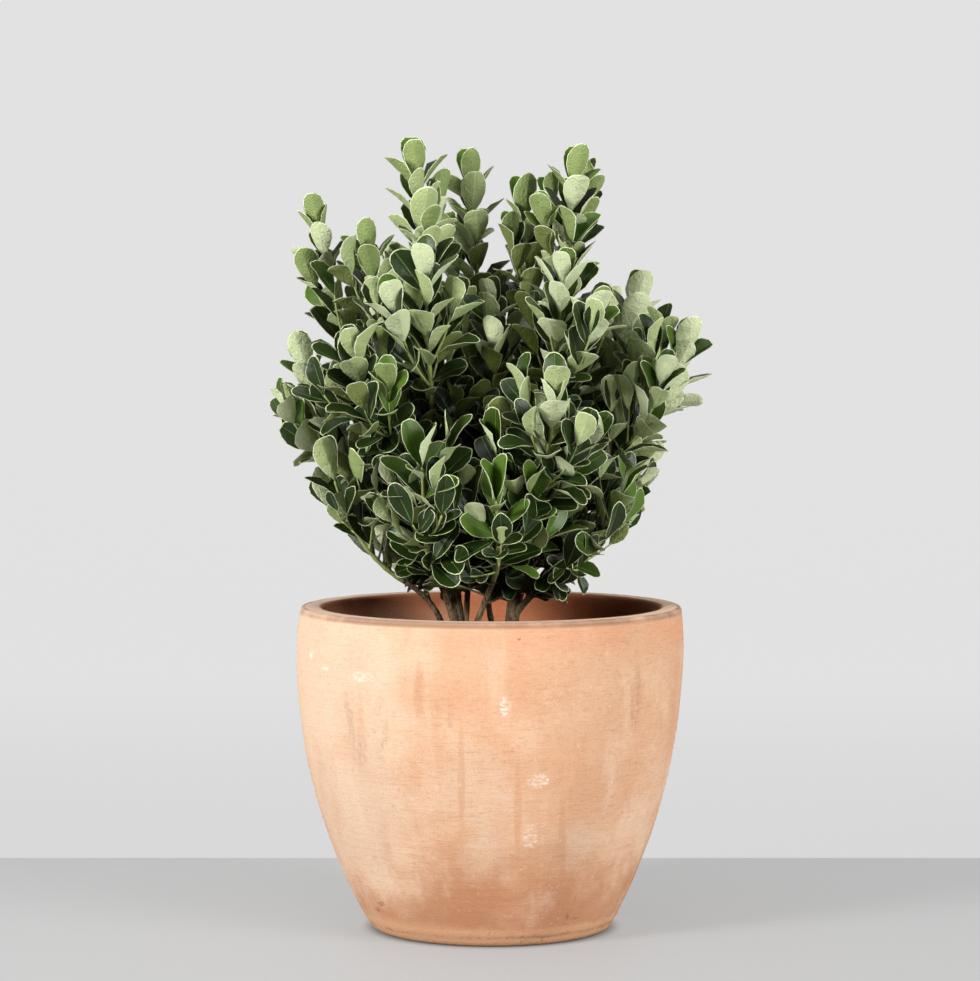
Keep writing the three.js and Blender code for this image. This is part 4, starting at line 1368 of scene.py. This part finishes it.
# %% Leaf forms
FORM_SEED, CRINKLE_SEED = 91, 92
CRINKLE, CRINKLE_SIZE = 0.45, 14.0
TIP_ARCH = 0.05
TIP_FROM, TIP_WIDE = 0.8, 0.4
FULL_MIDDLE = 0.6
EDGE_WAVES, MARGIN_WAVES = 9.0, 11
WIDTH_VARY = (0.88, 1.1)
HEIGHT_WIDTHS = (0.93, 0.99)
FORM_RANGES = {
    "fuller": (-0.45, 0.1),
    "cup": (0.04, 0.13),
    "fold": (0.01, 0.055),
    "wave": (0.0, 0.035),
    "phase": (0, 2 * np.pi),
    "uneven": (0.0, 0.06),
    "blunt": (-0.012, 0.05),
}
FORM_SPREADS = {"arch": (0.02, 0.07), "bend": (0, 0.03)}


def leaf_forms(random):
    """All the leaves' points: the one shape, fuller towards its tip or its stalk, with an uneven edge
    and a pointed or blunt tip, cupped and folded across, arched along, waved at its margin, sized,
    turned and moved, and crinkled by noise."""
    count = len(leaf_rows)
    width = leaf_length * LEAF_WIDTH / 2 * random.uniform(*WIDTH_VARY, count)
    width = width * by_height(leaf_root[:, 2], *HEIGHT_WIDTHS)
    x, flat, z = leaf_points.T[:, None]
    fuller, cup, fold, wave, phase, uneven, blunt = (
        random.uniform(low, high, count)[:, None] for low, high in FORM_RANGES.values()
    )
    arch, bend = (random.normal(*row, count)[:, None] for row in FORM_SPREADS.values())
    arch = np.where(leaf_pair[:, None] == 0, np.maximum(arch, TIP_ARCH), arch)
    edge = uneven * np.sin(EDGE_WAVES * x + phase + 2 * np.sign(flat))
    y = flat * (1 + fuller * (x - FULL_MIDDLE) + edge)
    tip = np.exp(-((flat / TIP_WIDE) ** 2)) * np.clip((x - TIP_FROM) / (1 - TIP_FROM), 0, 1)
    cupped = cup * y**2 * np.sin(np.pi * np.clip(x, 0, 1)) ** 0.5
    rise = cupped + fold * np.abs(y) * np.minimum(4 * x, 1)
    rise = rise - arch * x**2 + wave * np.abs(y) * np.sin(MARGIN_WAVES * x + phase + np.sign(y))
    across = y * (width / leaf_length)[:, None] + bend * x**2
    local = np.stack([x - blunt * tip, across, z + rise], -1)
    placed = set_down(local, leaf_root, leaf_frame, leaf_length)
    crinkle = CRINKLE * ripple(placed, CRINKLE_SIZE, CRINKLE_SEED)
    return placed + leaf_frame[:, None, :, 2] * crinkle[..., None]


# %% [markdown]
# ## Leaf colours
# A leaf has one plain colour for each part. Its tone is mostly painted light and shade: lighter high up
# and on the outside of the crown, darker low down, deep inside and between the columns. Spray and age
# add to it: fresh yellow-green at the young tips, deep green above and sage below on old ones. Plain
# colours stay crisp on hundreds of small leaves. What changes over a blade is its gloss and its relief:
# a waxy grain above, a fine mottle below.

# %% Leaf finishes
def leaf_top(name, color):
    """The glossy upper side: a waxy sheen that changes a little from place to place."""
    top = Finish(name, srgb(*color), 0.36, 0.32)
    place = top.place()
    patch, grain = top.noise(place, 120.0, 3.0), top.noise(place, 700.0, 2.0)
    top.set("Roughness", 0.26 + patch * 0.24)
    top.bump(patch * 0.7 + grain * 0.3, 0.0007)
    return top.material


def leaf_under(name, color):
    """The matt under side, with a fine mottled relief."""
    under = Finish(name, srgb(*color), 0.62, 0.35)
    place = under.place()
    mottle = under.noise(place, 420.0, 4.0) * 0.6 + under.noise(place, 150.0, 3.0) * 0.6
    under.set("Roughness", 0.5 + mottle * 0.25)
    under.bump(mottle, 0.0021)
    return under.material


# Lit and shaded copies of one leaf: deep, dark and mid tops and shade, sage and pale backs are picked by
# painted light and shade; the inner tones are painted shade.
TOP_TONES = {
    "leaf_top_inner_shade": (18, 30, 10),
    "leaf_top_deep": (27, 43, 6),
    "leaf_top_dark": (45, 65, 10),
    "leaf_top_mid": (63, 88, 18),
    "leaf_top_fresh": (74, 102, 30),
}
UNDER_TONES = {
    "leaf_under_inner_shade": (66, 76, 22),
    "leaf_under_shade": (118, 130, 70),
    "leaf_under_sage": (164, 178, 122),
    "leaf_under_pale": (196, 206, 162),
    "leaf_under_young": (132, 149, 88),
}
PART_TONES = {
    "leaf_margin": (200, 208, 162),
    "leaf_rib": (92, 118, 60),
    "leaf_under_rib": (184, 197, 143),
    "leaf_under_margin": (219, 226, 190),
    "leaf_inner_margin_shade": (120, 128, 88),
}
LEAF_FINISHES = [leaf_top(*row) for row in TOP_TONES.items()]
LEAF_FINISHES += [leaf_under(*row) for row in (UNDER_TONES | PART_TONES).items()]
print(len(LEAF_FINISHES), "leaf finishes")

# %% Leaf tones
INNER, YOUNG = 0, len(TOP_TONES) - 1
UNDER = len(TOP_TONES)
RIBBED = UNDER + 2, UNDER + 3
MARGIN_SLOT, RIB_SLOT, UNDER_RIB_SLOT, UNDER_MARGIN_SLOT, INNER_MARGIN_SLOT = range(
    2 * UNDER, 2 * UNDER + len(PART_TONES)
)
YOUNG_SPRAYS, YOUNG_PAIRS = 0.08, 3
TIP_HEIGHT, TIP_PAIRS = 630.0, 2
# Leaves deep inside and low, and those of bare twigs near the middle, take the inner tones: painted
# shade.
INNER_SHARE, INNER_HEIGHT = 0.42, 520.0
BARE_SHARE = 0.56
# The tone rises with height and with distance out from the middle: painted light.
LIGHT_FROM, LIGHT_RUN = 330, 390
MIDDLE_TONE, MIDDLE_SHARE, SHARE_TONE = 0.95, 0.7, 2.0
SPRAY_SPREAD, TOP_SPREAD, UNDER_SPREAD = 0.5, 0.4, 0.3
TOP_OFFSETS, UNDER_OFFSETS = (-0.5, 0.1), (1.5, 0.95)
TONE_ENDS = (1, 3)
# Lower pairs are darker: partly older leaves, partly painted shade.
PAIR_TONE = -0.12
# Axis leaves are a little lighter as young growth; fine twigs' leaves between the columns are darker as
# painted shade.
ORDER_TONES = np.array([0.5, 0.2, -0.7])
# Listed masses are lighter or darker as a whole: painted light and shade where they stand.
MASS_TONES = {
    "spire_left": -0.7,
    "front_left": -1.2,
    "upper_left": -0.4,
    "spire_back": 0.4,
    "spire_right": 0.3,
    "centre": 0.4,
    "column_right": 0.3,
    "side_left": 0.3,
    "shoulder_right": -0.6,
}


def leaf_slots(random):
    """The finish of every face: by part, with one upper and one under tone for each leaf, lighter
    higher up and further out as painted light, dealt out by spray and age. Leaves deep inside are
    the darkest, as painted shade."""
    spray_tone = random.normal(0, SPRAY_SPREAD, len(sprays))
    spray_young = random.uniform(0, 1, len(sprays)) < YOUNG_SPRAYS
    order_tone = ORDER_TONES[[row[3] for row in sprays]]
    spray_tone += order_tone + [MASS_TONES.get(row[0], 0.0) for row in sprays]
    spray_bare = np.array([row[1] is None for row in sprays])
    middles = leaf_root + leaf_frame[:, :, 0] * leaf_length[:, None] / 2
    height, share = middles[:, 2], crown_share(middles)
    # Painted shade: leaves deep inside the crown take the darkest tones.
    inner = (share < INNER_SHARE) & (height < INNER_HEIGHT)
    inner |= spray_bare[leaf_spray] & (share < BARE_SHARE)
    young = spray_young[leaf_spray] & (leaf_pair < YOUNG_PAIRS)
    young |= (leaf_pair < TIP_PAIRS) & (height > TIP_HEIGHT)
    # Painted light: lighter higher up and further out, darker for lower pairs, with the spray's tone.
    tone = (height - LIGHT_FROM) / LIGHT_RUN + SHARE_TONE * (share - MIDDLE_SHARE) + MIDDLE_TONE
    tone = tone + PAIR_TONE * leaf_pair + spray_tone[leaf_spray]
    top = tone + by_height(height, *TOP_OFFSETS) + random.normal(0, TOP_SPREAD, len(tone))
    under = tone + by_height(height, *UNDER_OFFSETS) + random.normal(0, UNDER_SPREAD, len(tone))
    top, under = (
        np.where(inner, INNER, np.where(young, YOUNG, np.round(np.clip(side, *TONE_ENDS))))
        for side in (top, under)
    )
    under = under + UNDER
    rib = np.full_like(top, RIB_SLOT)
    under_rib = np.where(np.isin(under, RIBBED), UNDER_RIB_SLOT, under)
    margin, under_margin = (
        np.where(inner, INNER_MARGIN_SLOT, slot) for slot in (MARGIN_SLOT, UNDER_MARGIN_SLOT)
    )
    return np.stack([top, rib, margin, under, under_rib, under_margin])[leaf_kinds].T


# %% Leaf pieces
# Each piece takes the masses from one name to another, in the order of their list.
LEAF_GROUPS = {
    "leaves_spires": ("spire_left", "upper_left"),
    "leaves_front": ("centre", "front_low"),
    "leaves_sides": ("side_left", "low_right"),
    "leaves_back": ("back_left", "back_low_right"),
}
form_random = np.random.default_rng(FORM_SEED)
all_forms = leaf_forms(form_random)
all_slots = leaf_slots(form_random)
leaf_mass = np.array([row[0] for row in sprays])[leaf_spray]
mass_list = list(MASSES)
for group, (first, last) in LEAF_GROUPS.items():
    masses = mass_list[mass_list.index(first) : mass_list.index(last) + 1]
    chosen = np.isin(leaf_mass, masses)
    put_piece(
        group,
        copies(all_forms[chosen], leaf_corners, leaf_sizes),
        LEAF_FINISHES,
        ["foliage_" + mass for mass in masses],
        all_slots[chosen].ravel(),
        np.tile(leaf_kinds > 2, int(chosen.sum())),
    )

# %% [markdown]
# ## Twigs
# The shoots themselves are slim green tubes with a slight swelling at each pair of leaves and a small
# bud at the end. Each stops at its last leaf. All shoots of an order have the same number of rings and
# sides and are joined into one piece. Twigs inside the crown are darker, as painted shade.

# %% Twig shapes
TWIG_RADII = ((2.5, 1.1), (1.5, 0.8), (1.1, 0.6))
TWIG_SIDES = (8, 6, 5)
TWIG_RINGS = (36, 16, 10)
NODE_SWELL, NODE_NARROW = 0.22, 8
BUD_RUN = np.array([5.0, 3.2, 1.2, 0.0])
BUD_WIDTH = np.array([1.0, 1.35, 1.0, 0.2])
LEAST_RING = 0.3


def twig_tube(limb, order, end):
    """A shoot up to a share of its run: it tapers, swells a little at each pair of leaves and ends in
    a bud."""
    run = limb.length * end
    stem = np.linspace(0, max(run - BUD_RUN[0], 1), TWIG_RINGS[order])
    bud = np.maximum(run - BUD_RUN, stem[-1] + np.arange(len(BUD_RUN)) * LEAST_RING)
    way = np.append(stem[:-1], bud)
    first, last = TWIG_RADII[order]
    swell = NODE_SWELL * np.cos(np.pi * (limb.length - way) / NODE_STEPS[1]) ** NODE_NARROW
    radius = (first + (last - first) * way / limb.length) * (1 + swell)
    radius[-len(BUD_WIDTH):] *= BUD_WIDTH
    return capped(tube(limb, radius[:, None], TWIG_SIDES[order], way / limb.length))


def twig_finish(name, color, uneven):
    """Green young bark: a plain colour with a soft, uneven sheen and a fine relief along the twig."""
    twig = Finish(name, srgb(*color), 0.5, 0.4)
    grain = twig.noise(twig.place(), (500.0, 500.0, 120.0), 3.0)
    twig.set("Roughness", 0.42 + grain * uneven)
    twig.bump(grain, 0.0006)
    return twig.material


TWIG_TONES = {
    "foliage_axes": ("twig_axis", (144, 150, 88), 0.3),
    "foliage_shoots": ("twig_shoot", (148, 160, 94), 0.25),
    "foliage_twigs": ("twig_young", (150, 166, 98), 0.2),
}
# Twigs inside the crown, which belong to no mass, are darker: painted shade.
INNER_TWIG = twig_finish("twig_inner_shade", (82, 82, 48), 0.3)
for order, (name, tone) in enumerate(TWIG_TONES.items()):
    grown = [row for row in sprays if row[3] == order and shoot_ends[row[2]] > 0]
    shape = joined([twig_tube(limb, order, shoot_ends[limb]) for _, _, limb, _ in grown])
    inner = [index is None for _, index, _, _ in grown]
    inner_faces = np.repeat(inner, len(shape[2]) // len(grown))
    put_piece(name, shape, [twig_finish(*tone), INNER_TWIG], face_slots=inner_faces)
